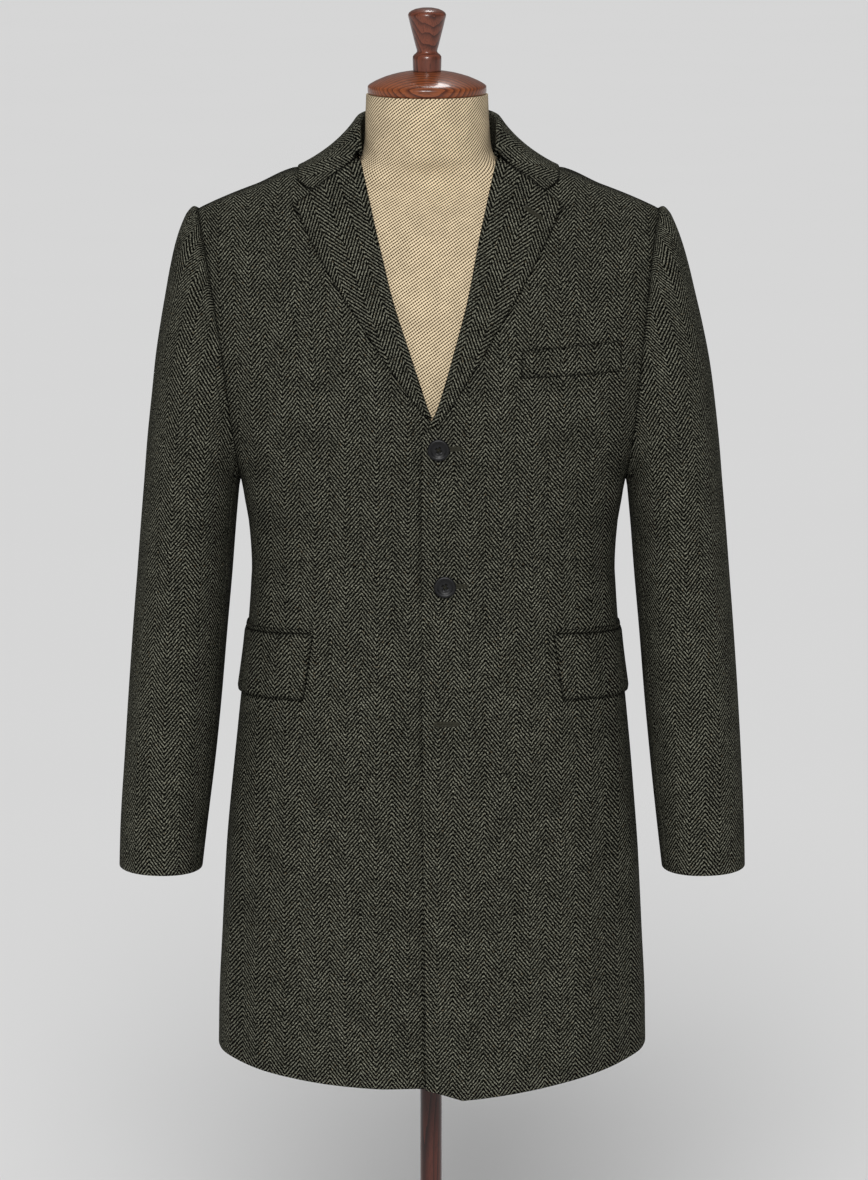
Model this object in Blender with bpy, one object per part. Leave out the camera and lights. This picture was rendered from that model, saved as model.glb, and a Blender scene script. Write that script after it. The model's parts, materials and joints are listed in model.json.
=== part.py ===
"""Tweed overcoat on a limbless dress form with a turned stand.

Single-breasted overcoat with notched lapels, set-in two-piece sleeves, a
breast welt and flapped hip pockets. Every cut piece of cloth is a thin wall
of its own. Metres, +Z up. The coat faces -Y, and the wearer's left is +X.
The origin is the middle of the stand's underside, on the pole's axis.
"""

import math

import bmesh
import bpy
import numpy as np
from mathutils import Matrix, Vector

# Walls and gaps
GAP = 0.0003
ARMHOLE_GAP = 0.0006
BODY_WALL = 0.0026
SLEEVE_WALL = 0.0024
COLLAR_WALL = 0.0022
LAPEL_WALL = 0.0018
POCKET_WALL = 0.0022
LAY_GAP = 0.0005  # between a panel and what lies on it

# Coat landmarks
UNDERARM_Z = 1.158
TIP_X, TIP_Z = 0.228, 1.4275  # shoulder tip
NECK_X, NECK_Z = 0.0715, 1.4850  # neck end of the shoulder seam
SHOULDER_ARCH = 0.020  # how far the shoulder seam bows above a straight line
RIDGE_ROUND = 0.030
BACK_NECK_Z = 1.469
PLAN_POWER = 2.3  # roundness of the horizontal sections
FRONT_SHOULDER_POWER = 2.6  # how soon the chest rounds over to the shoulder
BACK_SHOULDER_POWER = 4.0
SIDE_SEAM_SHIFT = math.radians(13)  # the side seam runs to the back below the underarm
SIDE_SEAM_RUN = 0.15

# Hem, front edges and vent
HEM_Z, HEM_RISE = 0.568, 0.015
TOP_HEM_Z, TOP_HEM_RISE = 0.5557, 0.0295  # the front that buttons over hangs lower
TOP_CORNER = 0.012  # the cut-off lower corner of that front
UNDERLAP = 0.032
LAP_FROM, LAP_FULL = 0.055, 0.0125  # where the under front starts to dip, and is fully down
DIP_TOP, DIP_FADE = 1.33, 0.08
VENT_LAP, VENT_DIP = 0.040, 0.0034
VENT_ROW = 6  # the highest row of the backs that the vent reaches

# Mesh steps
FRONT_COLUMNS, BACK_COLUMNS = 14, 11
LOW_ROWS = 13
TOP_SLEEVE_COLUMNS, UNDER_SLEEVE_COLUMNS = 13, 6
LAPEL_COLUMNS, COLLAR_STEPS = 6, 3
ROUND_STEPS = 28

# Lapels: the roll line stands ROLL_REACH beyond the front's edge
ROLL_REACH, ROLL_GAP, LAPEL_SWELL = 0.0043, 0.0007, 0.0022
LAPEL_TAIL, TAIL_DROP = 0.006, 0.0007
UNDER_ROLL_RISE, UNDER_EDGE_RISE = 0.009, 0.006  # the under lapel starts this much higher
LAPEL_STEPS = (0.0, 0.06, 0.12, 0.20, 0.30, 0.41, 0.52, 0.63, 0.74, 0.83, 0.90, 0.94, 0.97, 1.0)

# Sleeve seams, as angles round the arm from the outer side towards the front
FRONT_SLEEVE_SEAM = math.radians(150)
BACK_SLEEVE_SEAM = math.radians(-115)
SLEEVE_POWER = 2.2

# Buttons: how far they stand off the cloth
BUTTON_LIFT = 0.0007

# Dress form and stand
NECK_SHIFT = -0.0038  # the neck stands this far to one side of the pole
NECK_SHIFT_FROM, NECK_SHIFT_RUN = 1.30, 0.22
CAP_BOTTOM = 1.5400
POLE_RADIUS, FORM_BOTTOM = 0.011, 0.795
BASE_TOP = 0.046


class Table:
    """Rows of sizes with named columns, read by a smooth curve through them."""

    def __init__(self, columns, rows):
        self.columns = {name: np.array(values) for name, values in zip(columns, zip(*rows))}
        self.key = self.columns[columns[0]]

    def at(self, name, x):
        """Monotone cubic through the column, which never overshoots a row."""
        values = self.columns[name]
        x = np.clip(np.asarray(x, float), self.key[0], self.key[-1])
        step = np.diff(self.key)
        rise = np.diff(values) / step
        slope = np.zeros(len(values))
        slope[0], slope[-1] = rise[0], rise[-1]
        before, after = 2 * step[1:] + step[:-1], step[1:] + 2 * step[:-1]
        steady = rise[:-1] * rise[1:] > 0
        safe_low = np.where(steady, rise[:-1], 1.0)
        safe_high = np.where(steady, rise[1:], 1.0)
        mean = (before + after) / (before / safe_low + after / safe_high)
        slope[1:-1] = np.where(steady, mean, 0.0)
        i = np.clip(np.searchsorted(self.key, x, side="right") - 1, 0, len(step) - 1)
        t = (x - self.key[i]) / step[i]
        start = (1 + 2 * t) * (1 - t) ** 2 * values[i] + t * (1 - t) ** 2 * step[i] * slope[i]
        end = t * t * (3 - 2 * t) * values[i + 1] + t * t * (t - 1) * step[i] * slope[i + 1]
        return start + end


# Half width and depths of the coat's body at each height
BODY = Table(
    ("z", "half", "front", "back"),
    (
        (0.540, 0.2168, 0.1500, 0.1500),
        (0.620, 0.2164, 0.1480, 0.1490),
        (0.700, 0.2125, 0.1460, 0.1480),
        (0.790, 0.2067, 0.1420, 0.1440),
        (0.870, 0.1996, 0.1380, 0.1390),
        (0.950, 0.1915, 0.1330, 0.1310),
        (1.000, 0.1862, 0.1290, 0.1210),
        (1.034, 0.1833, 0.1260, 0.1150),
        (1.075, 0.1813, 0.1250, 0.1120),
        (1.115, 0.1838, 0.1270, 0.1140),
        (1.135, 0.1872, 0.1285, 0.1170),
        (1.158, 0.1912, 0.1300, 0.1200),
        (1.170, 0.1949, 0.1310, 0.1215),
        (1.190, 0.2035, 0.1320, 0.1240),
        (1.225, 0.2165, 0.1335, 0.1280),
        (1.290, 0.2330, 0.1310, 0.1320),
        (1.360, 0.2410, 0.1240, 0.1330),
        (1.400, 0.2460, 0.1190, 0.1310),
        (1.430, 0.2490, 0.1150, 0.1290),
        (1.500, 0.2550, 0.1050, 0.1220),
    ),
)

# How far the whole coat leans to one side on its form
LEAN = Table(
    ("z", "x"),
    (
        (0.50, 0.0010),
        (0.80, 0.0012),
        (0.90, 0.0020),
        (1.07, 0.0023),
        (1.24, 0.0020),
        (1.30, 0.0008),
        (1.36, -0.0010),
        (1.42, -0.0024),
        (1.52, -0.0025),
    ),
)

# The armhole seam seen from the front
ARMHOLE = Table(
    ("z", "x"),
    (
        (1.1580, 0.1912),
        (1.2350, 0.2010),
        (1.3000, 0.2080),
        (1.3550, 0.2155),
        (1.4000, 0.2225),
        (1.4275, 0.2280),
    ),
)

# Edges of the fronts: over is the front that buttons over, under the other
FRONT_EDGE = Table(
    ("z", "over", "under"),
    (
        (0.5400, -0.0060, -UNDERLAP),
        (0.7600, -0.0080, -UNDERLAP),
        (0.9500, -0.0108, -UNDERLAP),
        (1.1600, -0.0115, -UNDERLAP),
        (1.1900, -0.0112, -UNDERLAP),
        (1.2144, -0.0107, -0.0200),
        (1.2240, -0.0046, -0.0080),
        (1.2354, 0.0046, 0.0043),
        (1.2520, 0.0114, 0.0114),
        (1.3000, 0.0262, 0.0262),
        (1.3500, 0.0410, 0.0410),
        (1.3980, 0.0516, 0.0516),
        (1.4427, 0.0620, 0.0620),
        (1.4752, 0.0693, 0.0693),
        (1.4850, 0.0715, 0.0715),
    ),
)

# Rows of the body above the underarm: their place up the armhole, and the height at which
# they meet a front's edge
HIGH_ROWS = (
    (0.00, UNDERARM_Z),
    (0.07, 1.1830),
    (0.14, 1.2030),
    (0.21, 1.2144),
    (0.28, 1.2240),
    (0.35, 1.2354),
    (0.42, 1.2520),
    (0.49, 1.2780),
    (0.56, 1.3080),
    (0.63, 1.3400),
    (0.70, 1.3720),
    (0.77, 1.4020),
    (0.84, 1.4290),
    (0.90, 1.4520),
    (0.95, 1.4700),
    (0.985, 1.4805),
    (1.00, NECK_Z),
)

# Depth by which the under front lies below the surface at the overlap
OVERLAP_DIP = Table(
    ("z", "dip"),
    (
        (0.54, 0.0068),
        (0.96, 0.0068),
        (1.03, 0.0036),
        (1.16, 0.0036),
        (1.20, 0.0060),
        (1.28, 0.0060),
    ),
)

# Middle back edge and neckline of the back, bottom to top
BACK_EDGE = Table(
    ("step", "x", "z"),
    (
        (0.00, 0.0000, UNDERARM_Z),
        (0.70, 0.0000, BACK_NECK_Z),
        (0.77, 0.0220, 1.4700),
        (0.84, 0.0420, 1.4728),
        (0.90, 0.0560, 1.4762),
        (0.95, 0.0645, 1.4800),
        (0.985, 0.0695, 1.4836),
        (1.00, NECK_X, NECK_Z),
    ),
)

# Lapels, bottom to top: the roll line and the outer edge, seen from the front
LAPEL = Table(
    ("step", "over_roll_x", "under_roll_x", "roll_z", "edge_x", "edge_z"),
    (
        (0.00, -0.0060, 0.0000, 1.2265, 0.0075, 1.2320),
        (0.08, 0.0020, 0.0045, 1.2410, 0.0215, 1.2520),
        (0.18, 0.0095, 0.0103, 1.2620, 0.0400, 1.2810),
        (0.34, 0.0228, 0.0228, 1.3050, 0.0660, 1.3220),
        (0.54, 0.0362, 0.0362, 1.3505, 0.0925, 1.3640),
        (0.76, 0.0475, 0.0475, 1.4010, 0.1150, 1.4040),
        (0.90, 0.0570, 0.0570, 1.4420, 0.1270, 1.4260),
        (1.00, 0.0662, 0.0662, 1.4800, 0.1322, 1.4340),
    ),
)

# Collar stations from the notch round to the middle back, for one side: the fold, the leaf's
# outer edge seen from above, the leaf's middle and the foot of the stand
COLLAR = Table(
    ("step", "fold_x", "fold_y", "fold_z", "edge_x", "edge_y", "mid_x", "mid_y", "mid_z",
     "foot_x", "foot_y", "foot_z"),
    (
        (0.00, 0.0676, -0.0300, 1.4862, 0.1273, -0.0370, 0.0950, -0.0372, 1.4730,
         0.0672, -0.0290, 1.4815),
        (0.14, 0.0690, -0.0150, 1.5020, 0.1285, -0.0180, 0.0950, -0.0180, 1.4825,
         0.0680, -0.0140, 1.4860),
        (0.26, 0.0692, 0.0020, 1.5120, 0.1275, 0.0030, 0.0955, 0.0030, 1.4845,
         0.0683, 0.0010, 1.4872),
        (0.40, 0.0672, 0.0220, 1.5165, 0.1190, 0.0270, 0.0900, 0.0250, 1.4850,
         0.0668, 0.0220, 1.4830),
        (0.56, 0.0600, 0.0430, 1.5190, 0.1010, 0.0520, 0.0785, 0.0495, 1.4855,
         0.0590, 0.0460, 1.4785),
        (0.72, 0.0450, 0.0600, 1.5205, 0.0740, 0.0720, 0.0580, 0.0680, 1.4860,
         0.0440, 0.0630, 1.4745),
        (0.86, 0.0240, 0.0705, 1.5210, 0.0395, 0.0840, 0.0310, 0.0800, 1.4880,
         0.0235, 0.0725, 1.4725),
        (1.00, 0.0000, 0.0740, 1.5210, 0.0000, 0.0880, 0.0000, 0.0835, 1.4885,
         0.0000, 0.0755, 1.4715),
    ),
)
LEAF_LIFT = LAY_GAP + COLLAR_WALL / 2 + 0.0010
# The fold, from its highest line: how far in and down, and out and down, its sides start
FOLD_IN, FOLD_IN_DROP = 0.0020, 0.0035
FOLD_OUT, FOLD_OUT_DROP = 0.0040, 0.0026
FOLD_CREST = ((-0.0010, 0.0006), (0.0016, 0.0003))
# Front end of the leaf: shares along it, and its place seen from the front
GORGE = ((0.0, 0.78, 1.0), (0.0690, 0.1130, 0.1273), (1.4789, 1.4480, 1.4558))
GORGE_FADE = 0.14

# Sleeve sections from the armhole down: outer and inner ends seen from the
# front, the half depths and the middle's place from front to back
SLEEVE = Table(
    ("ring", "out_x", "out_z", "in_x", "in_z", "front", "back", "y"),
    (
        (0, 0.2284, 1.4275, 0.1918, 1.1580, 0.062, 0.068, 0.000),
        (1, 0.2325, 1.4292, 0.1919, 1.1575, 0.064, 0.070, 0.000),
        (2, 0.2385, 1.4235, 0.1920, 1.1570, 0.066, 0.072, 0.001),
        (3, 0.2445, 1.4110, 0.1921, 1.1565, 0.069, 0.074, 0.001),
        (4, 0.2508, 1.3930, 0.1922, 1.1558, 0.071, 0.076, 0.002),
        (5, 0.2568, 1.3700, 0.1923, 1.1550, 0.073, 0.078, 0.003),
        (6, 0.2626, 1.3430, 0.1924, 1.1540, 0.075, 0.079, 0.004),
        (7, 0.2690, 1.3120, 0.1926, 1.1528, 0.076, 0.080, 0.004),
        (8, 0.2750, 1.2780, 0.1929, 1.1512, 0.077, 0.080, 0.005),
        (9, 0.2800, 1.2380, 0.1933, 1.1490, 0.077, 0.080, 0.005),
        (10, 0.2845, 1.1980, 0.1938, 1.1440, 0.077, 0.079, 0.006),
        (11, 0.2882, 1.1550, 0.1948, 1.1340, 0.076, 0.078, 0.007),
        (12, 0.2920, 1.1130, 0.1972, 1.1080, 0.074, 0.076, 0.009),
        (13, 0.2965, 1.0600, 0.2012, 1.0590, 0.072, 0.073, 0.011),
        (14, 0.3015, 0.9990, 0.2068, 0.9985, 0.069, 0.070, 0.010),
        (15, 0.3060, 0.9350, 0.2122, 0.9345, 0.066, 0.066, 0.003),
        (16, 0.3095, 0.8750, 0.2182, 0.8740, 0.063, 0.062, -0.007),
        (17, 0.3123, 0.8230, 0.2242, 0.8220, 0.059, 0.058, -0.016),
        (18, 0.3139, 0.7705, 0.2305, 0.7685, 0.056, 0.055, -0.024),
    ),
)
CUFF_RING = 18
CAP_BLEND = 5  # rings over which the armhole's own line fades out

# Dress form sections, bottom to top
FORM = Table(
    ("z", "half", "front", "back"),
    (
        (0.795, 0.120, 0.084, 0.086),
        (0.803, 0.148, 0.102, 0.104),
        (0.830, 0.165, 0.115, 0.117),
        (0.950, 0.168, 0.114, 0.114),
        (1.070, 0.162, 0.107, 0.096),
        (1.160, 0.168, 0.113, 0.104),
        (1.250, 0.182, 0.117, 0.113),
        (1.330, 0.193, 0.110, 0.115),
        (1.380, 0.197, 0.0925, 0.114),
        (1.4125, 0.195, 0.0820, 0.1067),
        (1.4330, 0.184, 0.0685, 0.0957),
        (1.4492, 0.158, 0.0555, 0.0827),
        (1.4610, 0.121, 0.0500, 0.070),
        (1.4700, 0.082, 0.0520, 0.064),
        (1.4790, 0.0660, 0.057, 0.062),
        (1.490, 0.0625, 0.059, 0.061),
        (1.510, 0.0612, 0.060, 0.060),
        (1.5397, 0.060, 0.060, 0.060),
    ),
)
FORM_HEIGHTS = (0.795, 0.803, 0.830, 0.890, 0.950, 1.010, 1.070, 1.115, 1.160, 1.205, 1.250,
                1.290, 1.330, 1.360, 1.385, 1.4125, 1.433, 1.4492, 1.461, 1.470, 1.479, 1.490,
                1.510, 1.5397)

# Pockets, on the coat's surface: angles round the body from the middle front
FLAP_FRONT, FLAP_END = math.radians(36.5), math.radians(99)
FLAP_TOP_FRONT, FLAP_TOP_SIDE = 1.0190, 1.0080
FLAP_LOW_FRONT, FLAP_LOW_SIDE = 0.9537, 0.9455
FLAP_SLANT = math.radians(2.0)  # the flap's front edge runs outwards going down
JET_FRONT_HIGH, JET_SIDE_HIGH = 0.0040, 0.0062
WELT_CORNERS = ((0.0871, 1.3005), (0.1850, 1.3066), (0.1843, 1.2764), (0.0860, 1.2741))

# Buttons: place seen from the front, on the front that buttons over or under it
BUTTONS = (
    ("button_top", 0.0053, 1.2056, "over"),
    ("button_middle", 0.0114, 1.0692, "over"),
    ("button_lower", 0.0060, 0.9336, "under"),
)

# Turned outlines: radius and height, from the top down
CAP_OUTLINE = ((0.0, 0.0224), (0.020, 0.0220), (0.035, 0.0188), (0.047, 0.0145),
               (0.0545, 0.0105), (0.0585, 0.0075), (0.0585, 0.0012), (0.0573, 0.0), (0.0, 0.0))
FINIAL_OUTLINE = ((0.0, 0.0620), (0.010, 0.0610), (0.0172, 0.0575), (0.0188, 0.0550),
                  (0.0180, 0.0510), (0.0145, 0.0370), (0.0115, 0.0250), (0.0100, 0.0190),
                  (0.0112, 0.0165), (0.0142, 0.0140), (0.0138, 0.0), (0.0, 0.0))
BASE_OUTLINE = ((0.0, 0.046), (0.017, 0.046), (0.021, 0.042), (0.023, 0.034), (0.060, 0.030),
                (0.150, 0.0255), (0.172, 0.022), (0.179, 0.016), (0.180, 0.004), (0.178, 0.0),
                (0.0, 0.0))
BUTTON_OUTLINE = ((0.0, 0.0019), (0.0066, 0.0019), (0.0080, 0.0031), (0.0098, 0.0031),
                  (0.0108, 0.0021), (0.0106, 0.0008), (0.0086, 0.0), (0.0, 0.0))


def clear_scene():
    """Take away everything that is in the scene."""
    for thing in list(bpy.data.objects):
        bpy.data.objects.remove(thing, do_unlink=True)


def material(name, colour, roughness):
    """A plain finish: a Principled shader with one colour."""
    finish = bpy.data.materials.new(name)
    finish.use_nodes = True
    shader = finish.node_tree.nodes["Principled BSDF"]
    shader.inputs["Base Color"].default_value = (*colour, 1.0)
    shader.inputs["Roughness"].default_value = roughness
    shader.inputs["Metallic"].default_value = 0.0
    return finish


def add_object(name, bm, finish, smooth=True):
    """Make an object of a closed bmesh, with its faces pointing out."""
    if bm.calc_volume(signed=True) < 0:
        bmesh.ops.reverse_faces(bm, faces=bm.faces)
    mesh = bpy.data.meshes.new(name)
    bm.to_mesh(mesh)
    bm.free()
    mesh.materials.append(finish)
    if smooth:
        mesh.shade_smooth()
        mesh.set_sharp_from_angle(angle=math.radians(40))
    thing = bpy.data.objects.new(name, mesh)
    bpy.context.scene.collection.objects.link(thing)
    return thing


def wall(name, outer, inner, finish):
    """A closed wall between two grids of points of the same shape."""
    rows, columns = outer.shape[:2]
    bm = bmesh.new()
    layers = []
    for grid in (outer, inner):
        layers.append([[bm.verts.new(point) for point in row] for row in grid])
    front, rear = layers
    for r in range(rows - 1):
        for c in range(columns - 1):
            bm.faces.new((front[r][c], front[r][c + 1], front[r + 1][c + 1], front[r + 1][c]))
            bm.faces.new((rear[r + 1][c], rear[r + 1][c + 1], rear[r][c + 1], rear[r][c]))
    for c in range(columns - 1):
        bm.faces.new((front[0][c + 1], front[0][c], rear[0][c], rear[0][c + 1]))
        bm.faces.new((front[-1][c], front[-1][c + 1], rear[-1][c + 1], rear[-1][c]))
    for r in range(rows - 1):
        bm.faces.new((front[r][0], front[r + 1][0], rear[r + 1][0], rear[r][0]))
        bm.faces.new((front[r + 1][-1], front[r][-1], rear[r][-1], rear[r + 1][-1]))
    return add_object(name, bm, finish)


def turned(name, outline, finish, steps, centre=(0.0, 0.0, 0.0)):
    """Spin an outline of radius and height, from top to bottom, about +Z."""
    bm = bmesh.new()
    points = [bm.verts.new((radius, 0.0, height)) for radius, height in outline]
    edges = [bm.edges.new(pair) for pair in zip(points, points[1:])]
    bmesh.ops.spin(bm, geom=points + edges, cent=(0, 0, 0), axis=(0, 0, 1),
                   angle=2 * math.pi, steps=steps, use_merge=True)
    bmesh.ops.remove_doubles(bm, verts=bm.verts, dist=1e-6)
    bmesh.ops.recalc_face_normals(bm, faces=bm.faces)
    bmesh.ops.translate(bm, verts=bm.verts, vec=centre)
    return add_object(name, bm, finish)


def unit(vectors):
    """Vectors scaled to a length of one."""
    return vectors / np.linalg.norm(vectors, axis=-1, keepdims=True)


def power(value, exponent):
    """A power that keeps the sign."""
    return np.sign(value) * np.abs(value) ** exponent


def ridge(x):
    """Height of the shoulder line at a distance from the middle, rounded over at the middle."""
    s = np.clip((np.abs(x) - NECK_X) / (TIP_X - NECK_X), 0, 1)
    neck, tip = math.hypot(NECK_X, RIDGE_ROUND), math.hypot(TIP_X, RIDGE_ROUND)
    slope = (NECK_Z - TIP_Z) / (tip - neck)
    return NECK_Z - slope * (np.hypot(x, RIDGE_ROUND) - neck) + SHOULDER_ARCH * s * s * (1 - s)


def rounding(x, z, back):
    """1 below the underarm, falling to 0 at the shoulder line."""
    exponent = np.where(back, BACK_SHOULDER_POWER, FRONT_SHOULDER_POWER)
    share = np.clip((z - UNDERARM_Z) / (ridge(x) - UNDERARM_Z), 0, 1)
    return (1 - share**exponent) ** (1 / PLAN_POWER)


def depth(z, back):
    """Depth of the body from its middle to the front or the back."""
    return np.where(back, BODY.at("back", z), BODY.at("front", z))


def surface_y(x, z, back=False):
    """Where the coat's outer surface lies, front to back."""
    across = np.clip(np.abs(x) / BODY.at("half", z), 0, 1) ** PLAN_POWER
    out = depth(z, back) * (1 - across) ** (1 / PLAN_POWER) * rounding(x, z, back)
    return np.where(back, out, -out)


def level(x, y, z, back):
    """A value that is 1 on the coat's surface and grows outwards."""
    across = (np.abs(x) / BODY.at("half", z)) ** PLAN_POWER
    reach = depth(z, back) * np.maximum(rounding(x, z, back), 1e-4)
    return across + (np.abs(y) / reach) ** PLAN_POWER


def surface_normal(x, y, z, back):
    """Outward direction of the coat's surface."""
    step = 2e-5
    slopes = []
    for axis in range(3):
        low = [x, y, z]
        high = [x, y, z]
        low[axis] = low[axis] - step
        high[axis] = high[axis] + step
        slopes.append(level(*high, back) - level(*low, back))
    return unit(np.stack(slopes, axis=-1))


def place(points, side=1):
    """Points of the wearer's left half, put on either side, with the lean."""
    moved = np.array(points, float)
    moved[..., 0] = side * moved[..., 0] + LEAN.at("x", moved[..., 2])
    return moved


def round_body(angle, z):
    """A point of the body below the underarm, at an angle from the middle front."""
    back = np.cos(angle) < 0
    x = BODY.at("half", z) * power(np.sin(angle), 2 / PLAN_POWER)
    y = -depth(z, back) * power(np.cos(angle), 2 / PLAN_POWER)
    return x, y, z, back


def side_seam(z):
    """Angle of the side seam, which drifts to the back below the underarm."""
    share = np.clip((UNDERARM_Z - z) / SIDE_SEAM_RUN, 0, 1)
    return math.pi / 2 + SIDE_SEAM_SHIFT * share * share * (3 - 2 * share)


def angle_at(x, z):
    """Angle round the body at which a point seen from the front lies."""
    return np.arcsin(np.clip(power(x / BODY.at("half", z), PLAN_POWER / 2), -1, 1))


def armhole_z(share):
    """Height on the armhole seam, from its bottom at 0 to the tip at 1."""
    even = 0.5 * share + 0.25 * (1 - np.cos(math.pi * share))
    return UNDERARM_Z + (TIP_Z - UNDERARM_Z) * even


def offset(points, normals, distance):
    """Points moved along their outward directions."""
    return points + normals * np.asarray(distance)[..., None]


def high_row(start, end, share, columns, back):
    """A row from an inner edge to the armhole, following the shoulder near the top."""
    (x0, z0), (x1, z1) = start, end
    a0, a1 = angle_at(x0, z0), angle_at(x1, z1)
    a = np.linspace(a0, a1, columns + 1)
    s = power(np.sin(a), 2 / PLAN_POWER)
    w = (s - s[0]) / (s[-1] - s[0])
    x = x0 + (x1 - x0) * w
    z = z0 + (z1 - z0) * w
    line = NECK_Z + (TIP_Z - NECK_Z) * (x - NECK_X) / (TIP_X - NECK_X)
    z = z + (ridge(x) - line) * share**4 * np.clip((x - NECK_X) / 0.02, 0, 1)
    z = np.minimum(z, ridge(x) - 1e-6) if share < 1 else ridge(x)
    seam = np.abs(surface_y(x, z, back)) if share < 1 else 0 * x
    return x, np.maximum(seam, GAP / 2) * (1 if back else -1), z


def grid_with_normals(rows, on_ridge):
    """Stack rows of x, y, z and back flags. The last row may lie on the shoulder."""
    x, y, z, back = (np.array([row[i] for row in rows]) for i in range(4))
    normals = surface_normal(x, y, z, back)
    if on_ridge:
        normals[-1] = unit(normals[-2] * np.array([1.0, 0.0, 1.0]))
    return np.stack([x, y, z], axis=-1), normals


def front_grid(edge):
    """Outer points and directions of a front, for the edge named over or under."""
    rows = []
    for r in range(LOW_ROWS):
        share = r / LOW_ROWS
        angles = None
        for _ in range(3):
            spread = np.zeros(FRONT_COLUMNS + 1) if angles is None else np.abs(np.sin(angles))
            if edge == "over":
                corner = TOP_CORNER * np.clip(1 - np.arange(FRONT_COLUMNS + 1), 0, 1)
                hem = TOP_HEM_Z + corner + TOP_HEM_RISE * spread**1.3
            else:
                hem = HEM_Z + HEM_RISE * spread**2
            z = hem + (UNDERARM_Z - hem) * share
            first = angle_at(FRONT_EDGE.at(edge, z[0]), z[0])
            last = side_seam(z[-1]) - GAP / 2 / BODY.at("half", z[-1])
            angles = first + (last - first) * np.linspace(0, 1, FRONT_COLUMNS + 1)
        rows.append(round_body(angles, z))
    for share, z0 in HIGH_ROWS:
        z1 = float(armhole_z(share))
        start = (float(FRONT_EDGE.at(edge, z0)), z0)
        end = (float(ARMHOLE.at("x", z1)), z1)
        x, y, z = high_row(start, end, share, FRONT_COLUMNS, False)
        rows.append((x, y, z, np.zeros(x.shape, bool)))
    return grid_with_normals(rows, True)


def under_dip(points):
    """How far the under front is pressed in where the other front laps over it."""
    share = np.clip((LAP_FROM - points[..., 0]) / (LAP_FROM - LAP_FULL), 0, 1)
    fade = np.clip((DIP_TOP - points[..., 2]) / DIP_FADE, 0, 1)
    smooth = share * share * (3 - 2 * share) * fade * fade * (3 - 2 * fade)
    return OVERLAP_DIP.at("dip", points[..., 2]) * smooth


def build_fronts(cloth):
    """The two fronts. The wearer's left one buttons over the other."""
    points, normals = front_grid("over")
    wall("front_left", place(points), place(offset(points, normals, -BODY_WALL)), cloth)
    points, normals = front_grid("under")
    dip = under_dip(points)
    wall("front_right", place(offset(points, normals, -dip), -1),
         place(offset(points, normals, -dip - BODY_WALL), -1), cloth)


def back_grid(lap):
    """Outer points and directions of a back. lap is how far its vent runs under the other."""
    rows = []
    for r in range(LOW_ROWS):
        share = r / LOW_ROWS
        hem = HEM_Z + 0.010 + (HEM_RISE - 0.010) * np.linspace(0, 1, BACK_COLUMNS + 1)
        z = hem + (UNDERARM_Z - hem) * share
        edge_x = GAP / 2 - (lap if r <= VENT_ROW else 0.0)
        first = math.pi - angle_at(edge_x, z[0])
        last = side_seam(z[-1]) + GAP / 2 / BODY.at("half", z[-1])
        angles = first + (last - first) * np.linspace(0, 1, BACK_COLUMNS + 1)
        rows.append(round_body(angles, z))
    for share, _ in HIGH_ROWS:
        z1 = float(armhole_z(share))
        x0 = float(BACK_EDGE.at("x", share)) + GAP / 2 * (share < 1)
        start = (x0, float(BACK_EDGE.at("z", share)))
        end = (float(ARMHOLE.at("x", z1)), z1)
        x, y, z = high_row(start, end, share, BACK_COLUMNS, True)
        rows.append((x, y, z, np.ones(x.shape, bool)))
    return grid_with_normals(rows, True)


def build_backs(cloth):
    """The two backs, seamed down the middle to a vent."""
    points, normals = back_grid(0.0)
    wall("back_left", place(points), place(offset(points, normals, -BODY_WALL)), cloth)
    points, normals = back_grid(VENT_LAP)
    near = np.clip((0.05 - points[..., 0]) / 0.035, 0, 1)
    low = (np.arange(len(points)) <= VENT_ROW + 1)[:, None]
    dip = VENT_DIP * near * near * (3 - 2 * near) * low
    wall("back_right", place(offset(points, normals, -dip), -1),
         place(offset(points, normals, -dip - BODY_WALL), -1), cloth)


def armhole_point(angle):
    """A point of the armhole seam, by the angle round the sleeve's first ring."""
    z = (TIP_Z + UNDERARM_Z) / 2 + (TIP_Z - UNDERARM_Z) / 2 * np.cos(angle)
    x = ARMHOLE.at("x", z)
    y = surface_y(x, z, np.sin(angle) < 0)
    return np.stack([x, y, z], axis=-1)


def flat_ring(ring, angle):
    """A point of a sleeve section that lies in one plane."""
    out = np.stack([SLEEVE.at("out_x", ring), SLEEVE.at("y", ring), SLEEVE.at("out_z", ring)], -1)
    inn = np.stack([SLEEVE.at("in_x", ring), SLEEVE.at("y", ring), SLEEVE.at("in_z", ring)], -1)
    across = power(np.cos(angle), 2 / SLEEVE_POWER)[..., None]
    forward = power(np.sin(angle), 2 / SLEEVE_POWER)
    reach = np.where(forward > 0, SLEEVE.at("front", ring), SLEEVE.at("back", ring))
    point = (out + inn) / 2 + (out - inn) / 2 * across
    point[..., 1] -= reach * forward
    return point


def sleeve_point(ring, angle):
    """A point of the sleeve's outer surface. The first rings follow the armhole."""
    ring, angle = np.broadcast_arrays(np.asarray(ring, float), np.asarray(angle, float))
    fade = np.clip(1 - ring / CAP_BLEND, 0, 1) ** 2
    start = armhole_point(angle)
    start[..., 0] += ARMHOLE_GAP
    return flat_ring(ring, angle) + fade[..., None] * (start - flat_ring(0 * ring, angle))


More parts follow.
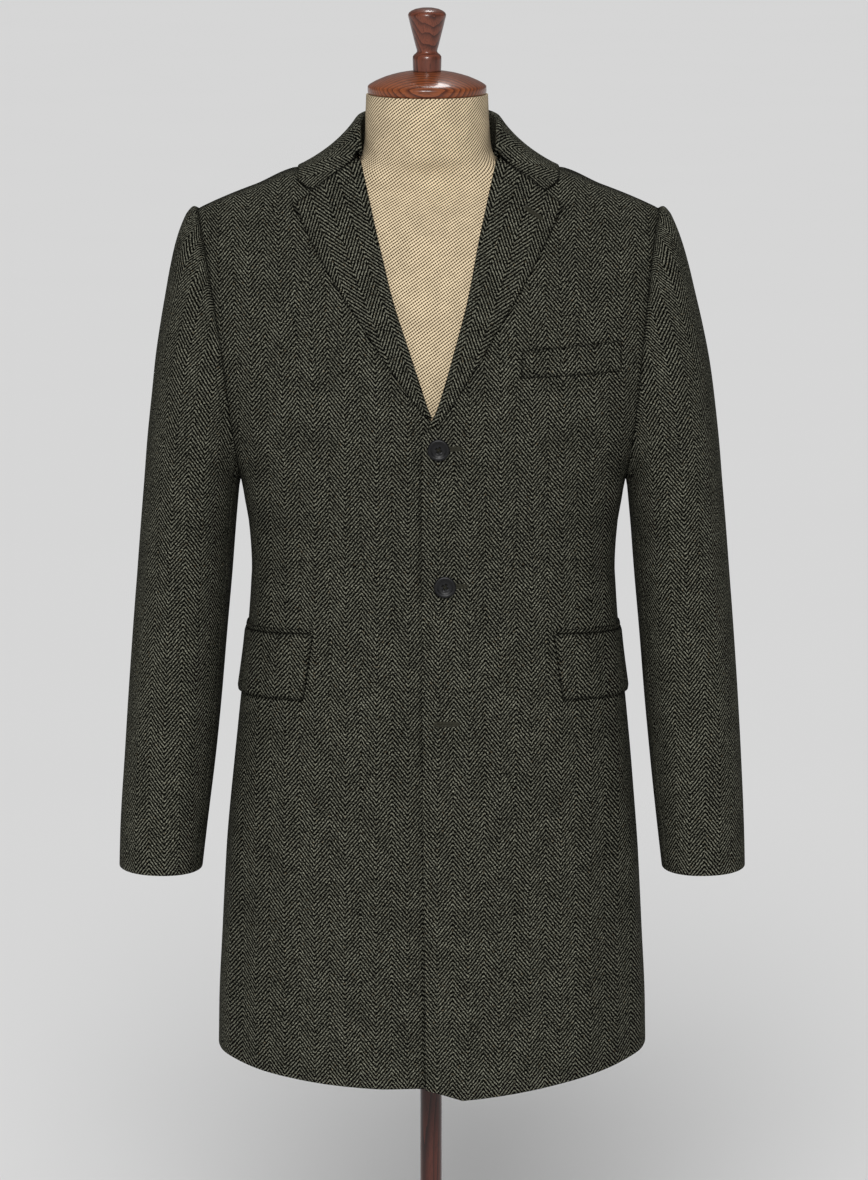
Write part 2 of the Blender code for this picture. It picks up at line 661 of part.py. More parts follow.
def sleeve_grid(first, last, columns):
    """Outer points and directions of a piece of sleeve between two seams."""
    ring = np.arange(CUFF_RING + 1.0)[:, None]
    angle = np.linspace(first, last, columns + 1)[None, :]
    points = sleeve_point(ring, angle)
    down = sleeve_point(np.minimum(ring + 0.05, CUFF_RING), angle) - sleeve_point(
        np.maximum(ring - 0.05, 0), angle)
    round_ = sleeve_point(ring, angle + 0.01) - sleeve_point(ring, angle - 0.01)
    normals = unit(np.cross(down, round_))
    middle = points.mean(axis=1, keepdims=True)
    flip = np.sign(((points - middle) * normals).sum(axis=(1, 2), keepdims=True))
    return points, normals * np.where(flip == 0, 1, flip)


def build_sleeves(cloth):
    """A top sleeve and an under sleeve on each side."""
    seam = GAP / 0.065
    under_last = BACK_SLEEVE_SEAM + 2 * math.pi
    spans = (
        ("top_sleeve", BACK_SLEEVE_SEAM + seam, FRONT_SLEEVE_SEAM - seam, TOP_SLEEVE_COLUMNS),
        ("under_sleeve", FRONT_SLEEVE_SEAM + seam, under_last - seam, UNDER_SLEEVE_COLUMNS),
    )
    for piece, first, last, columns in spans:
        points, normals = sleeve_grid(first, last, columns)
        inner = offset(points, normals, -SLEEVE_WALL)
        for side, hand in ((1, "left"), (-1, "right")):
            wall(f"{piece}_{hand}", place(points, side), place(inner, side), cloth)


def on_front(x, z, lift, dip=None):
    """A point above the front's surface, seen from the front at x, z."""
    x, z = np.asarray(x, float), np.asarray(z, float)
    z = np.minimum(z, ridge(x) - 1e-5)
    y = surface_y(x, z)
    normal = surface_normal(x, y, z, np.zeros(x.shape, bool))
    points = np.stack([x, y, z], axis=-1)
    if dip is not None:
        lift = lift - dip(points)
    return offset(points, normal, lift), normal


def lapel_section(width):
    """The lapel's outer and inner outline: along from the roll line, and up from the front."""
    middle = -BODY_WALL / 2
    sheets = []
    for wall_out in (LAPEL_WALL, 0.0):
        radius = BODY_WALL / 2 + ROLL_GAP + wall_out
        path = [(ROLL_REACH + LAPEL_TAIL, middle - radius - TAIL_DROP)]
        path.append((ROLL_REACH + LAPEL_TAIL / 2, middle - radius - TAIL_DROP / 2))
        for step in range(7):
            turn = math.radians(-90 - 30 * step)
            path.append((ROLL_REACH + radius * math.cos(turn), middle + radius * math.sin(turn)))
        for step in range(1, LAPEL_COLUMNS + 1):
            share = step / LAPEL_COLUMNS
            swell = LAPEL_SWELL * math.sin(math.pi * share)
            path.append((ROLL_REACH + (width - ROLL_REACH) * share, middle + radius + swell))
        sheets.append(np.array(path))
    return sheets


def build_lapels(cloth):
    """The turned-back lapels. Each wraps its front's edge at the roll line."""
    for hand, side, edge, dip in (("left", 1, "over", None), ("right", -1, "under", under_dip)):
        outer, inner = [], []
        for step in LAPEL_STEPS:
            roll_x = LAPEL.at(f"{edge}_roll_x", step)
            fade = (1 - step) ** 8 if dip else 0.0
            roll_z = LAPEL.at("roll_z", step) + UNDER_ROLL_RISE * fade
            edge_x, edge_z = LAPEL.at("edge_x", step), LAPEL.at("edge_z", step)
            edge_z = edge_z + UNDER_EDGE_RISE * fade
            root, _ = on_front(roll_x, roll_z, 0.0, dip)
            tip, _ = on_front(edge_x, edge_z, 0.0, dip)
            width = float(np.linalg.norm(tip - root))
            across = np.array([edge_x - roll_x, edge_z - roll_z]) / width
            rim, normal = on_front(*(np.array([roll_x, roll_z]) + across * ROLL_REACH), 0.0, dip)
            along = unit(rim - root - ((rim - root) @ normal) * normal)
            for sheet, path in zip((outer, inner), lapel_section(width)):
                row = []
                for reach, lift in path:
                    if reach <= ROLL_REACH:
                        row.append(rim + along * (reach - ROLL_REACH) + normal * lift)
                    else:
                        x, z = np.array([roll_x, roll_z]) + across * reach
                        row.append(on_front(x, z, lift, dip)[0])
                sheet.append(row)
        wall(f"lapel_{hand}", place(np.array(outer), side), place(np.array(inner), side), cloth)


def surface_height(x, y):
    """Height of the coat's upper surface above a place."""
    x, y = np.broadcast_arrays(np.asarray(x, float), np.asarray(y, float))
    back = y > 0
    exponent = np.where(back, BACK_SHOULDER_POWER, FRONT_SHOULDER_POWER)
    z = ridge(x) - 0.01
    for _ in range(12):
        reach = depth(z, back) * (1 - (np.abs(x) / BODY.at("half", z)) ** PLAN_POWER) ** (
            1 / PLAN_POWER)
        inside = np.clip(1 - (np.abs(y) / reach) ** PLAN_POWER, 1e-6, 1)
        z = UNDERARM_Z + (ridge(x) - UNDERARM_Z) * inside ** (1 / exponent)
    return z


def bezier(points, t):
    """A point on the curve with three control points."""
    a, b, c = points
    return (1 - t) ** 2 * a + 2 * t * (1 - t) * b + t * t * c


def collar_path(step):
    """The collar's middle line at a station: up the stand, over the fold, down the leaf."""
    def read(name):
        return np.array([COLLAR.at(f"{name}_{axis}", step) for axis in "xyz"])
    fold, mid, foot = read("fold"), read("mid"), read("foot")
    edge_x, edge_y = COLLAR.at("edge_x", step), COLLAR.at("edge_y", step)
    edge = np.array([edge_x, edge_y, float(surface_height(edge_x, edge_y)) + LEAF_LIFT])
    out = unit((mid - fold) * np.array([1, 1, 0]))
    rise = np.array([0.0, 0.0, 1.0])
    inner = fold - out * FOLD_IN - rise * FOLD_IN_DROP
    outer = fold + out * FOLD_OUT - rise * FOLD_OUT_DROP
    crest = [fold + out * reach - rise * drop for reach, drop in FOLD_CREST]
    points = [foot, (foot + inner) / 2, inner, *crest, outer]
    for k in range(1, 6):
        points.append(bezier((outer, mid, edge), k / 5))
    path = np.array(points)
    x, y = path[6:, 0], path[6:, 1]
    near = 0.001
    slope_x = (surface_height(x + near, y) - surface_height(x - near, y)) / (2 * near)
    slope_y = (surface_height(x, y + near) - surface_height(x, y - near)) / (2 * near)
    clear = LEAF_LIFT * np.sqrt(1 + slope_x**2 + slope_y**2)
    path[6:, 2] = np.maximum(path[6:, 2], surface_height(x, y) + clear)
    return path


def gorge_points():
    """The front end of the collar's leaf: down the gorge seam, then up to the leaf's corner."""
    share = np.linspace(0, 1, 6)[1:]
    x = np.interp(share, GORGE[0], GORGE[1])
    z = np.interp(share, GORGE[0], GORGE[2])
    return on_front(x, z, LEAF_LIFT)[0]


def build_collar(cloth):
    """Stand and leaf in one folded band, from notch to notch round the back of the neck."""
    steps = np.concatenate([[0.0, 0.05, 0.10], np.linspace(0.16, 1.0, 4 * COLLAR_STEPS)])
    half = np.array([collar_path(step) for step in steps])
    shift = gorge_points() - half[0, 6:]
    for row, step in zip(half, steps):
        row[6:] += shift * max(0.0, 1 - step / GORGE_FADE)
    other = half[-2::-1].copy()
    other[..., 0] *= -1
    path = np.concatenate([half, other])
    along = np.gradient(path, axis=0)
    down = np.gradient(path, axis=1)
    normals = unit(np.cross(down, along))
    top = path[len(half) - 1, 3:5].mean(axis=0)
    if normals[len(half) - 1, 3] @ (top - path[len(half) - 1, 0]) < 0:
        normals = -normals
    outer = place(offset(path, normals, COLLAR_WALL / 2))
    inner = place(offset(path, normals, -COLLAR_WALL / 2))
    wall("collar", outer, inner, cloth)


def build_welt(cloth):
    """The breast pocket's welt, on the wearer's left."""
    corners = np.array(WELT_CORNERS)
    sheets = []
    for lift in (LAY_GAP + POCKET_WALL, LAY_GAP):
        grid = []
        for v in np.linspace(0, 1, 4):
            left = corners[0] + (corners[3] - corners[0]) * v
            right = corners[1] + (corners[2] - corners[1]) * v
            ends = left + (right - left) * np.linspace(0, 1, 9)[:, None]
            grid.append(on_front(ends[:, 0], ends[:, 1], lift)[0])
        sheets.append(place(np.array(grid)))
    wall("breast_welt", sheets[0], sheets[1], cloth)


def band_on_body(top, low, first, last, lift, columns, rows):
    """A grid over the body between two heights, each given at the front and the side."""
    share = np.linspace(0, 1, columns + 1)
    grid = []
    for v in np.linspace(0, 1, rows + 1):
        start = first + FLAP_SLANT * v
        angles = start + (last - start) * share
        side_share = (angles - FLAP_FRONT) / (math.pi / 2 - FLAP_FRONT)
        high = top[0] + (top[1] - top[0]) * side_share
        bottom = low[0] + (low[1] - low[0]) * side_share
        z = high + (bottom - high) * v
        x, y, z, back = round_body(angles, z)
        normal = surface_normal(x, y, z, back)
        grid.append(offset(np.stack([x, y, z], -1), normal, lift))
    return np.array(grid)


def build_hip_pockets(cloth):
    """A jetting strip and a flap on each side."""
    flap_top, flap_low = (FLAP_TOP_FRONT, FLAP_TOP_SIDE), (FLAP_LOW_FRONT, FLAP_LOW_SIDE)
    jet_low = (FLAP_TOP_FRONT + GAP, FLAP_TOP_SIDE + GAP)
    jet_top = (jet_low[0] + JET_FRONT_HIGH, jet_low[1] + JET_SIDE_HIGH)
    pieces = (
        ("flap", flap_top, flap_low, POCKET_WALL + 0.0004, 3),
        ("jet", jet_top, jet_low, 0.0014, 1),
    )
    for piece, top, low, thick, rows in pieces:
        sheets = [
            band_on_body(top, low, FLAP_FRONT, FLAP_END, lift, 12, rows)
            for lift in (LAY_GAP + thick, LAY_GAP)
        ]
        for side, hand in ((1, "left"), (-1, "right")):
            wall(f"{piece}_{hand}", place(sheets[0], side), place(sheets[1], side), cloth)


def build_buttons(finish):
    """Two fastened buttons, and a third under the overlap."""
    for name, x, z, layer in BUTTONS:
        lift = BUTTON_LIFT
        if layer == "under":
            lift = GAP - float(OVERLAP_DIP.at("dip", z))
        point, normal = on_front(np.array(x), np.array(z), lift)
        button = turned(name, BUTTON_OUTLINE, finish, 20)
        place_at = Vector(place(point))
        turn = Vector(normal).to_track_quat("Z", "Y").to_matrix().to_4x4()
        button.matrix_world = Matrix.Translation(place_at) @ turn


def build_form(linen):
    """The smooth limbless torso with its neck."""
    angles = np.linspace(0, 2 * math.pi, ROUND_STEPS, endpoint=False)
    bm = bmesh.new()
    rings = []
    for z in FORM_HEIGHTS:
        roundness = 2.0 + 0.2 * float(np.clip((1.44 - z) / 0.1, 0, 1))
        shift = NECK_SHIFT * float(np.clip((z - NECK_SHIFT_FROM) / NECK_SHIFT_RUN, 0, 1))
        x = FORM.at("half", z) * power(np.sin(angles), 2 / roundness) + shift
        reach = np.where(np.cos(angles) > 0, FORM.at("front", z), FORM.at("back", z))
        y = -reach * power(np.cos(angles), 2 / roundness)
        rings.append([bm.verts.new(point) for point in zip(x, y, np.full(x.shape, z))])
    for low, high in zip(rings, rings[1:]):
        for k in range(ROUND_STEPS):
            n = (k + 1) % ROUND_STEPS
            bm.faces.new((low[k], low[n], high[n], high[k]))
    bm.faces.new(rings[0][::-1])
    bm.faces.new(rings[-1])
    add_object("form_torso", bm, linen)


def build_stand(wood, dark_wood):
    """Cap and finial above the neck, pole and round base below the torso."""
    neck = (NECK_SHIFT, 0.0, CAP_BOTTOM)
    turned("neck_cap", CAP_OUTLINE, wood, ROUND_STEPS, neck)
    finial_foot = (NECK_SHIFT, 0.0, CAP_BOTTOM + CAP_OUTLINE[0][1] + GAP)
    turned("finial", FINIAL_OUTLINE, wood, 20, finial_foot)
    pole_low = BASE_TOP + GAP
    pole_high = FORM_BOTTOM - GAP
    pole_outline = ((0.0, pole_high), (POLE_RADIUS, pole_high), (POLE_RADIUS, pole_low),
                    (0.0, pole_low))
    turned("stand_pole", pole_outline, dark_wood, 20)
    turned("stand_base", BASE_OUTLINE, dark_wood, 40)


def main():
    """Build the coat, its buttons, the form and the stand."""
    clear_scene()
    tweed = material("tweed", (0.033, 0.034, 0.024), 0.95)
    horn = material("dark_horn", (0.006, 0.007, 0.010), 0.35)
    linen = material("linen", (0.55, 0.47, 0.33), 0.9)
    wood = material("varnished_wood", (0.20, 0.055, 0.020), 0.25)
    dark_wood = material("dark_wood", (0.035, 0.012, 0.008), 0.2)
    build_fronts(tweed)
    build_backs(tweed)
    build_sleeves(tweed)
    build_lapels(tweed)
    build_collar(tweed)
    build_welt(tweed)
    build_hip_pockets(tweed)
    build_buttons(horn)
    build_form(linen)
    build_stand(wood, dark_wood)


main()
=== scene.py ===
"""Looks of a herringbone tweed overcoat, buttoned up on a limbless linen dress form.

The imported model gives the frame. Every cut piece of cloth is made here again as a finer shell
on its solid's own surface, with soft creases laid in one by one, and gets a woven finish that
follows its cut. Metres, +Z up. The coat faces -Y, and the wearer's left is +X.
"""

import json
import logging
import math
import sys
from dataclasses import dataclass, field
from enum import Enum
from typing import Callable, Iterable, Sequence

import bmesh
import bpy
import numpy as np
from mathutils import Matrix, Vector

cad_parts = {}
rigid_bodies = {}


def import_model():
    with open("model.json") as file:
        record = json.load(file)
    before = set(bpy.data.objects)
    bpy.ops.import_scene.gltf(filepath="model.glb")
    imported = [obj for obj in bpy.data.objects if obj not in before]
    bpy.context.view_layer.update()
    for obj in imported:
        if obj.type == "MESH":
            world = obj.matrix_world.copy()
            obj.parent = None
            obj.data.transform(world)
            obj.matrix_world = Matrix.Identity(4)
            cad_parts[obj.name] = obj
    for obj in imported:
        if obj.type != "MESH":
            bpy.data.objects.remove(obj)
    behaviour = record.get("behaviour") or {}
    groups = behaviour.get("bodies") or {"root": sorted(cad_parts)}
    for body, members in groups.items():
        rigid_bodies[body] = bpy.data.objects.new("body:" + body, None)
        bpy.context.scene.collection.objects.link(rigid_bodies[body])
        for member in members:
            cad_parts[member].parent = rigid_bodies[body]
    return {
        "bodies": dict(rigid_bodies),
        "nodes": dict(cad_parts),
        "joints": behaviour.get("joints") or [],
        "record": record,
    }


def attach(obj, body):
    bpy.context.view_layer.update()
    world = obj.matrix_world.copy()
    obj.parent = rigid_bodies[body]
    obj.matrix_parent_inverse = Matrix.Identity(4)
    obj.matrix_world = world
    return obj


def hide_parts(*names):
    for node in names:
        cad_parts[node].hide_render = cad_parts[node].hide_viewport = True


LOG = logging.getLogger("overcoat")
MM = 0.001


class Side(Enum):
    """The wearer's sides."""

    LEFT = 1
    RIGHT = -1


class Edge(Enum):
    """Which of the two fronts a size belongs to."""

    OVER = "over"
    UNDER = "under"


class Table:
    """Rows of sizes with named columns, read by a smooth curve through them."""

    def __init__(self, columns: Sequence[str], rows: Sequence[Sequence[float]]) -> None:
        """Keep each column as an array.

        Args:
            columns: Names of the columns, the key first.
            rows: The rows, in rising order of the key.
        """
        self.columns = {name: np.array(values) for name, values in zip(columns, zip(*rows))}
        self.key = self.columns[columns[0]]

    def at(self, name: str, x: np.ndarray | float) -> np.ndarray:
        """Read a column by a monotone cubic, which never overshoots a row.

        Args:
            name: The column.
            x: Where to read it, held within the key's ends.

        Returns:
            The values there.
        """
        values = self.columns[name]
        x = np.clip(np.asarray(x, float), self.key[0], self.key[-1])
        step = np.diff(self.key)
        rise = np.diff(values) / step
        slope = np.zeros(len(values))
        slope[0], slope[-1] = rise[0], rise[-1]
        before, after = 2 * step[1:] + step[:-1], step[1:] + 2 * step[:-1]
        steady = rise[:-1] * rise[1:] > 0
        low, high = np.where(steady, rise[:-1], 1.0), np.where(steady, rise[1:], 1.0)
        slope[1:-1] = np.where(steady, (before + after) / (before / low + after / high), 0.0)
        i = np.clip(np.searchsorted(self.key, x, side="right") - 1, 0, len(step) - 1)
        t = (x - self.key[i]) / step[i]
        start = (1 + 2 * t) * (1 - t) ** 2 * values[i] + t * (1 - t) ** 2 * step[i] * slope[i]
        end = t * t * (3 - 2 * t) * values[i + 1] + t * t * (t - 1) * step[i] * slope[i + 1]
        return start + end


# Walls and gaps, as the solids have them
GAP = 0.0003
ARMHOLE_TUCK = 0.0006  # how far the sleeve head is tucked into the armhole seam
BODY_WALL, SLEEVE_WALL, COLLAR_WALL = 0.0026, 0.0024, 0.0022
LAPEL_WALL, POCKET_WALL, JET_WALL = 0.0018, 0.0026, 0.0014
LAY_GAP = 0.0005

# Coat landmarks
UNDERARM_Z = 1.158
TIP_X, TIP_Z = 0.228, 1.4275
NECK_X, NECK_Z = 0.0715, 1.4850
SHOULDER_ARCH, RIDGE_ROUND = 0.020, 0.030
SHOULDER_RISE = (0.0034, 0.120, 0.172, 0.040)  # soft rise beside the collar: how far, from, to, depth
BACK_NECK_Z = 1.469
PATTERN_TOP_Z, PATTERN_REACH = 1.33, 0.15  # above and beyond these the pattern runs straight on
PATTERN_TURN = (0.80, 0.16)  # share of the height where it starts to follow the shoulder, and run
CURVE_STEPS = 33  # points on a curve whose length is measured
PLAN_POWER = 2.3
FRONT_SHOULDER_POWER, BACK_SHOULDER_POWER = 2.6, 4.0
SIDE_SEAM_SHIFT, SIDE_SEAM_RUN = math.radians(13), 0.15
HEM_Z, HEM_RISE = 0.568, 0.015
TOP_HEM_Z, TOP_HEM_RISE, TOP_CORNER = 0.5557, 0.0295, 0.012
UNDERLAP, LAP_FROM, LAP_FULL = 0.032, 0.055, 0.0125
DIP_TOP, DIP_FADE = 1.33, 0.08
ARMHOLE_FADE, UNDERARM_FADE, SHOULDER_FADE = 0.022, 0.030, 0.2  # how creases fade out beside seams
SHOULDER_RUNS = (0.014, 0.034)  # how the rise beside the collar starts and ends
VENT_LAP, VENT_DIP, VENT_TOP_SHARE = 0.040, 0.0034, 0.5
VENT_NEAR, VENT_RUN, VENT_FADE = 0.050, 0.035, 0.07  # reach and run of the dip, and its fade above
ROLL_REACH, ROLL_GAP, LAPEL_SWELL = 0.0043, 0.0007, 0.0022
LAPEL_TAIL, TAIL_DROP = 0.006, 0.0007
EDGE_LIFT, FLAP_LIFT = 0.0009, 0.0014  # how far the lapel's and the flap's free edges stand off
UNDER_ROLL_RISE, UNDER_EDGE_RISE = 0.009, 0.006
FRONT_SLEEVE_SEAM, BACK_SLEEVE_SEAM = math.radians(150), math.radians(-115)
SLEEVE_POWER, CUFF_RING, CAP_BLEND = 2.2, 18, 5
CUFF_PATTERN_SHIFT = 0.0017  # where the sleeve's pattern starts, up from the cuff
NECK_SHIFT, NECK_SHIFT_FROM, NECK_SHIFT_RUN = -0.0038, 1.30, 0.22
CAP_BOTTOM, POLE_RADIUS, FORM_BOTTOM, BASE_TOP = 1.5400, 0.011, 0.795, 0.046

BODY = Table(("z", "half", "front", "back"), (
    (0.54, 0.2168, 0.15, 0.15), (0.62, 0.2164, 0.148, 0.149), (0.7, 0.2125, 0.146, 0.148),
    (0.79, 0.2067, 0.142, 0.144), (0.87, 0.1996, 0.138, 0.139), (0.95, 0.1915, 0.133, 0.131),
    (1.0, 0.1862, 0.129, 0.121), (1.034, 0.1833, 0.126, 0.115), (1.075, 0.1813, 0.125, 0.112),
    (1.115, 0.1838, 0.127, 0.114), (1.135, 0.1872, 0.1285, 0.117), (1.158, 0.1912, 0.13, 0.12),
    (1.17, 0.1949, 0.131, 0.1215), (1.19, 0.2035, 0.132, 0.124), (1.225, 0.2165, 0.1335, 0.128),
    (1.29, 0.233, 0.131, 0.132), (1.36, 0.241, 0.124, 0.133), (1.4, 0.246, 0.119, 0.131),
    (1.43, 0.249, 0.115, 0.129), (1.5, 0.255, 0.105, 0.122),
))
LEAN = Table(("z", "x"), (
    (0.5, 0.001), (0.8, 0.0012), (0.9, 0.002), (1.07, 0.0023), (1.24, 0.002), (1.3, 0.0008),
    (1.36, -0.001), (1.42, -0.0024), (1.52, -0.0025),
))
ARMHOLE = Table(("z", "x"), (
    (1.158, 0.1912), (1.235, 0.201), (1.3, 0.208), (1.355, 0.2155), (1.4, 0.2225), (1.4275, 0.228),
))
FRONT_EDGE = Table(("z", "over", "under"), (
    (0.54, -0.006, -UNDERLAP), (0.76, -0.008, -UNDERLAP), (0.95, -0.0108, -UNDERLAP),
    (1.16, -0.0115, -UNDERLAP), (1.19, -0.0112, -UNDERLAP), (1.2144, -0.0107, -0.02),
    (1.224, -0.0046, -0.008), (1.2354, 0.0046, 0.0043), (1.252, 0.0114, 0.0114),
    (1.3, 0.0262, 0.0262), (1.35, 0.041, 0.041), (1.398, 0.0516, 0.0516), (1.4427, 0.062, 0.062),
    (1.4752, 0.0693, 0.0693), (1.485, 0.0715, 0.0715),
))
HIGH_ROWS = Table(("share", "edge_z"), (
    (0.0, UNDERARM_Z), (0.07, 1.183), (0.14, 1.203), (0.21, 1.2144), (0.28, 1.224), (0.35, 1.2354),
    (0.42, 1.252), (0.49, 1.278), (0.56, 1.308), (0.63, 1.34), (0.7, 1.372), (0.77, 1.402),
    (0.84, 1.429), (0.9, 1.452), (0.95, 1.47), (0.985, 1.4805), (1.0, NECK_Z),
))
OVERLAP_DIP = Table(("z", "dip"), (
    (0.54, 0.0068), (0.96, 0.0068), (1.03, 0.0036), (1.16, 0.0036), (1.2, 0.006), (1.28, 0.006),
))
BACK_EDGE = Table(("share", "x", "z"), (
    (0.0, 0.0, UNDERARM_Z), (0.7, 0.0, BACK_NECK_Z), (0.77, 0.022, 1.47), (0.84, 0.042, 1.4728),
    (0.9, 0.056, 1.4762), (0.95, 0.0645, 1.48), (0.985, 0.0695, 1.4836), (1.0, NECK_X, NECK_Z),
))
LAPEL = Table(("step", "over_roll_x", "under_roll_x", "roll_z", "edge_x", "edge_z"), (
    (0.0, -0.006, 0.0, 1.2265, 0.0075, 1.232), (0.08, 0.002, 0.0045, 1.241, 0.0215, 1.252),
    (0.18, 0.0095, 0.0103, 1.262, 0.04, 1.281), (0.34, 0.0228, 0.0228, 1.305, 0.066, 1.322),
    (0.54, 0.0362, 0.0362, 1.3505, 0.0925, 1.364), (0.76, 0.0475, 0.0475, 1.401, 0.115, 1.404),
    (0.9, 0.057, 0.057, 1.442, 0.127, 1.426), (1.0, 0.0662, 0.0662, 1.48, 0.1322, 1.434),
))
LAPEL_STEPS = (0.0, 0.06, 0.12, 0.20, 0.30, 0.41, 0.52, 0.63, 0.74, 0.83, 0.90, 0.94, 0.97, 1.0)
COLLAR = Table(("step", "fold_x", "fold_y", "fold_z", "edge_x", "edge_y", "mid_x", "mid_y", "mid_z",
     "foot_x", "foot_y", "foot_z"), (
    (0.0, 0.0676, -0.03, 1.4862, 0.1273, -0.037, 0.095, -0.0372, 1.473, 0.0672, -0.029, 1.4815),
    (0.14, 0.069, -0.015, 1.502, 0.1285, -0.018, 0.095, -0.018, 1.4825, 0.068, -0.014, 1.486),
    (0.26, 0.0692, 0.002, 1.512, 0.1275, 0.003, 0.0955, 0.003, 1.4845, 0.0683, 0.001, 1.4872),
    (0.4, 0.0672, 0.022, 1.5165, 0.119, 0.027, 0.09, 0.025, 1.485, 0.0668, 0.022, 1.483),
    (0.56, 0.06, 0.043, 1.519, 0.101, 0.052, 0.0785, 0.0495, 1.4855, 0.059, 0.046, 1.4785),
    (0.72, 0.045, 0.06, 1.5205, 0.074, 0.072, 0.058, 0.068, 1.486, 0.044, 0.063, 1.4745),
    (0.86, 0.024, 0.0705, 1.521, 0.0395, 0.084, 0.031, 0.08, 1.488, 0.0235, 0.0725, 1.4725),
    (1.0, 0.0, 0.074, 1.521, 0.0, 0.088, 0.0, 0.0835, 1.4885, 0.0, 0.0755, 1.4715),
))
LEAF_LIFT = LAY_GAP + COLLAR_WALL / 2 + 0.0010
FOLD_IN, FOLD_IN_DROP = 0.0020, 0.0035
FOLD_OUT, FOLD_OUT_DROP = 0.0040, 0.0026
FOLD_CREST = ((-0.0010, 0.0006), (0.0016, 0.0003))
GORGE = ((0.0, 0.78, 1.0), (0.0690, 0.1130, 0.1273), (1.4789, 1.4480, 1.4558))
GORGE_FADE = 0.14
FOLD_COLUMN = 9  # the collar's column that lies on its fold
SLEEVE = Table(("ring", "out_x", "out_z", "in_x", "in_z", "front", "back", "y"), (
    (0, 0.2284, 1.4275, 0.1918, 1.158, 0.062, 0.068, 0.0),
    (1, 0.2325, 1.4292, 0.1919, 1.1575, 0.064, 0.07, 0.0),
    (2, 0.2385, 1.4235, 0.192, 1.157, 0.066, 0.072, 0.001),
    (3, 0.2445, 1.411, 0.1921, 1.1565, 0.069, 0.074, 0.001),
    (4, 0.2508, 1.393, 0.1922, 1.1558, 0.071, 0.076, 0.002),
    (5, 0.2568, 1.37, 0.1923, 1.155, 0.073, 0.078, 0.003),
    (6, 0.2626, 1.343, 0.1924, 1.154, 0.075, 0.079, 0.004),
    (7, 0.269, 1.312, 0.1926, 1.1528, 0.076, 0.08, 0.004),
    (8, 0.275, 1.278, 0.1929, 1.1512, 0.077, 0.08, 0.005),
    (9, 0.28, 1.238, 0.1933, 1.149, 0.077, 0.08, 0.005),
    (10, 0.2845, 1.198, 0.1938, 1.144, 0.077, 0.079, 0.006),
    (11, 0.2882, 1.155, 0.1948, 1.134, 0.076, 0.078, 0.007),
    (12, 0.292, 1.113, 0.1972, 1.108, 0.074, 0.076, 0.009),
    (13, 0.2965, 1.06, 0.2012, 1.059, 0.072, 0.073, 0.011),
    (14, 0.3015, 0.999, 0.2068, 0.9985, 0.069, 0.07, 0.01),
    (15, 0.306, 0.935, 0.2122, 0.9345, 0.066, 0.066, 0.003),
    (16, 0.3095, 0.875, 0.2182, 0.874, 0.063, 0.062, -0.007),
    (17, 0.3123, 0.823, 0.2242, 0.822, 0.059, 0.058, -0.016),
    (18, 0.3139, 0.7705, 0.2305, 0.7685, 0.056, 0.055, -0.024),
))
FORM = Table(("z", "half", "front", "back"), (
    (0.795, 0.12, 0.084, 0.086), (0.803, 0.148, 0.102, 0.104), (0.83, 0.165, 0.115, 0.117),
    (0.95, 0.168, 0.114, 0.114), (1.07, 0.162, 0.107, 0.096), (1.16, 0.168, 0.113, 0.104),
    (1.25, 0.182, 0.117, 0.113), (1.33, 0.193, 0.11, 0.115), (1.38, 0.197, 0.0925, 0.114),
    (1.4125, 0.195, 0.082, 0.1067), (1.433, 0.184, 0.0685, 0.0957), (1.4492, 0.158, 0.0555, 0.0827),
    (1.461, 0.121, 0.05, 0.07), (1.47, 0.082, 0.052, 0.064), (1.479, 0.066, 0.057, 0.062),
    (1.49, 0.0625, 0.059, 0.061), (1.51, 0.0612, 0.06, 0.06), (1.5397, 0.06, 0.06, 0.06),
))

# Soft creases of the body: the side (0 is both), then an angle in degrees round the body from the
# middle front and a height for either end, and the width and depth in mm. A trough's depth is
# negative.
BODY_CREASES = (
    (0, 62, 0.575, 56, 0.8, 20, -1.5), (0, 74, 0.572, 70, 0.86, 17, 1.3),
    (1, 30, 0.57, 27, 0.76, 15, -1.1), (1, 43, 0.565, 40, 0.7, 13, 0.9),
    (-1, 36, 0.572, 35, 0.74, 16, -1.2), (-1, 48, 0.57, 45, 0.82, 14, 0.8),
    (0, 88, 0.58, 86, 0.76, 16, -1.1), (1, 112, 0.575, 116, 0.84, 18, -1.7),
    (-1, 109, 0.575, 113, 0.88, 17, -1.4), (0, 126, 0.575, 128, 0.82, 17, 1.6),
    (1, 141, 0.575, 140, 0.76, 15, -1.4), (-1, 144, 0.575, 141, 0.8, 16, -1.5),
    (0, 158, 0.58, 155, 0.9, 16, 1.2), (0, 68, 1.085, 88, 1.068, 7, -1.1),
    (1, 60, 1.108, 84, 1.098, 6, -0.8), (-1, 64, 1.05, 86, 1.04, 7, -0.9),
    (0, 96, 1.092, 122, 1.075, 8, -1.3), (1, 108, 1.058, 140, 1.05, 7, -1.0),
    (-1, 112, 1.12, 138, 1.108, 8, -1.1), (1, 140, 1.088, 166, 1.082, 7, -0.9),
    (-1, 146, 1.07, 168, 1.066, 7, -0.8), (-1, 60, 1.19, 66, 1.33, 12, -1.2),
    (-1, 48, 1.17, 56, 1.27, 12, 0.7), (1, 62, 1.2, 67, 1.32, 10, -0.9),
    (1, 50, 1.13, 60, 1.21, 10, -0.7), (0, 116, 1.19, 118, 1.36, 14, -1.8),
    (0, 127, 1.18, 130, 1.32, 13, 1.2), (0, 150, 1.395, 170, 1.385, 9, -0.7),
    (1, 24, 0.88, 48, 0.862, 14, -0.5), (-1, 20, 0.905, 44, 0.895, 15, -0.5),
)
BODY_ARC = 0.165  # metres round the body to a radian

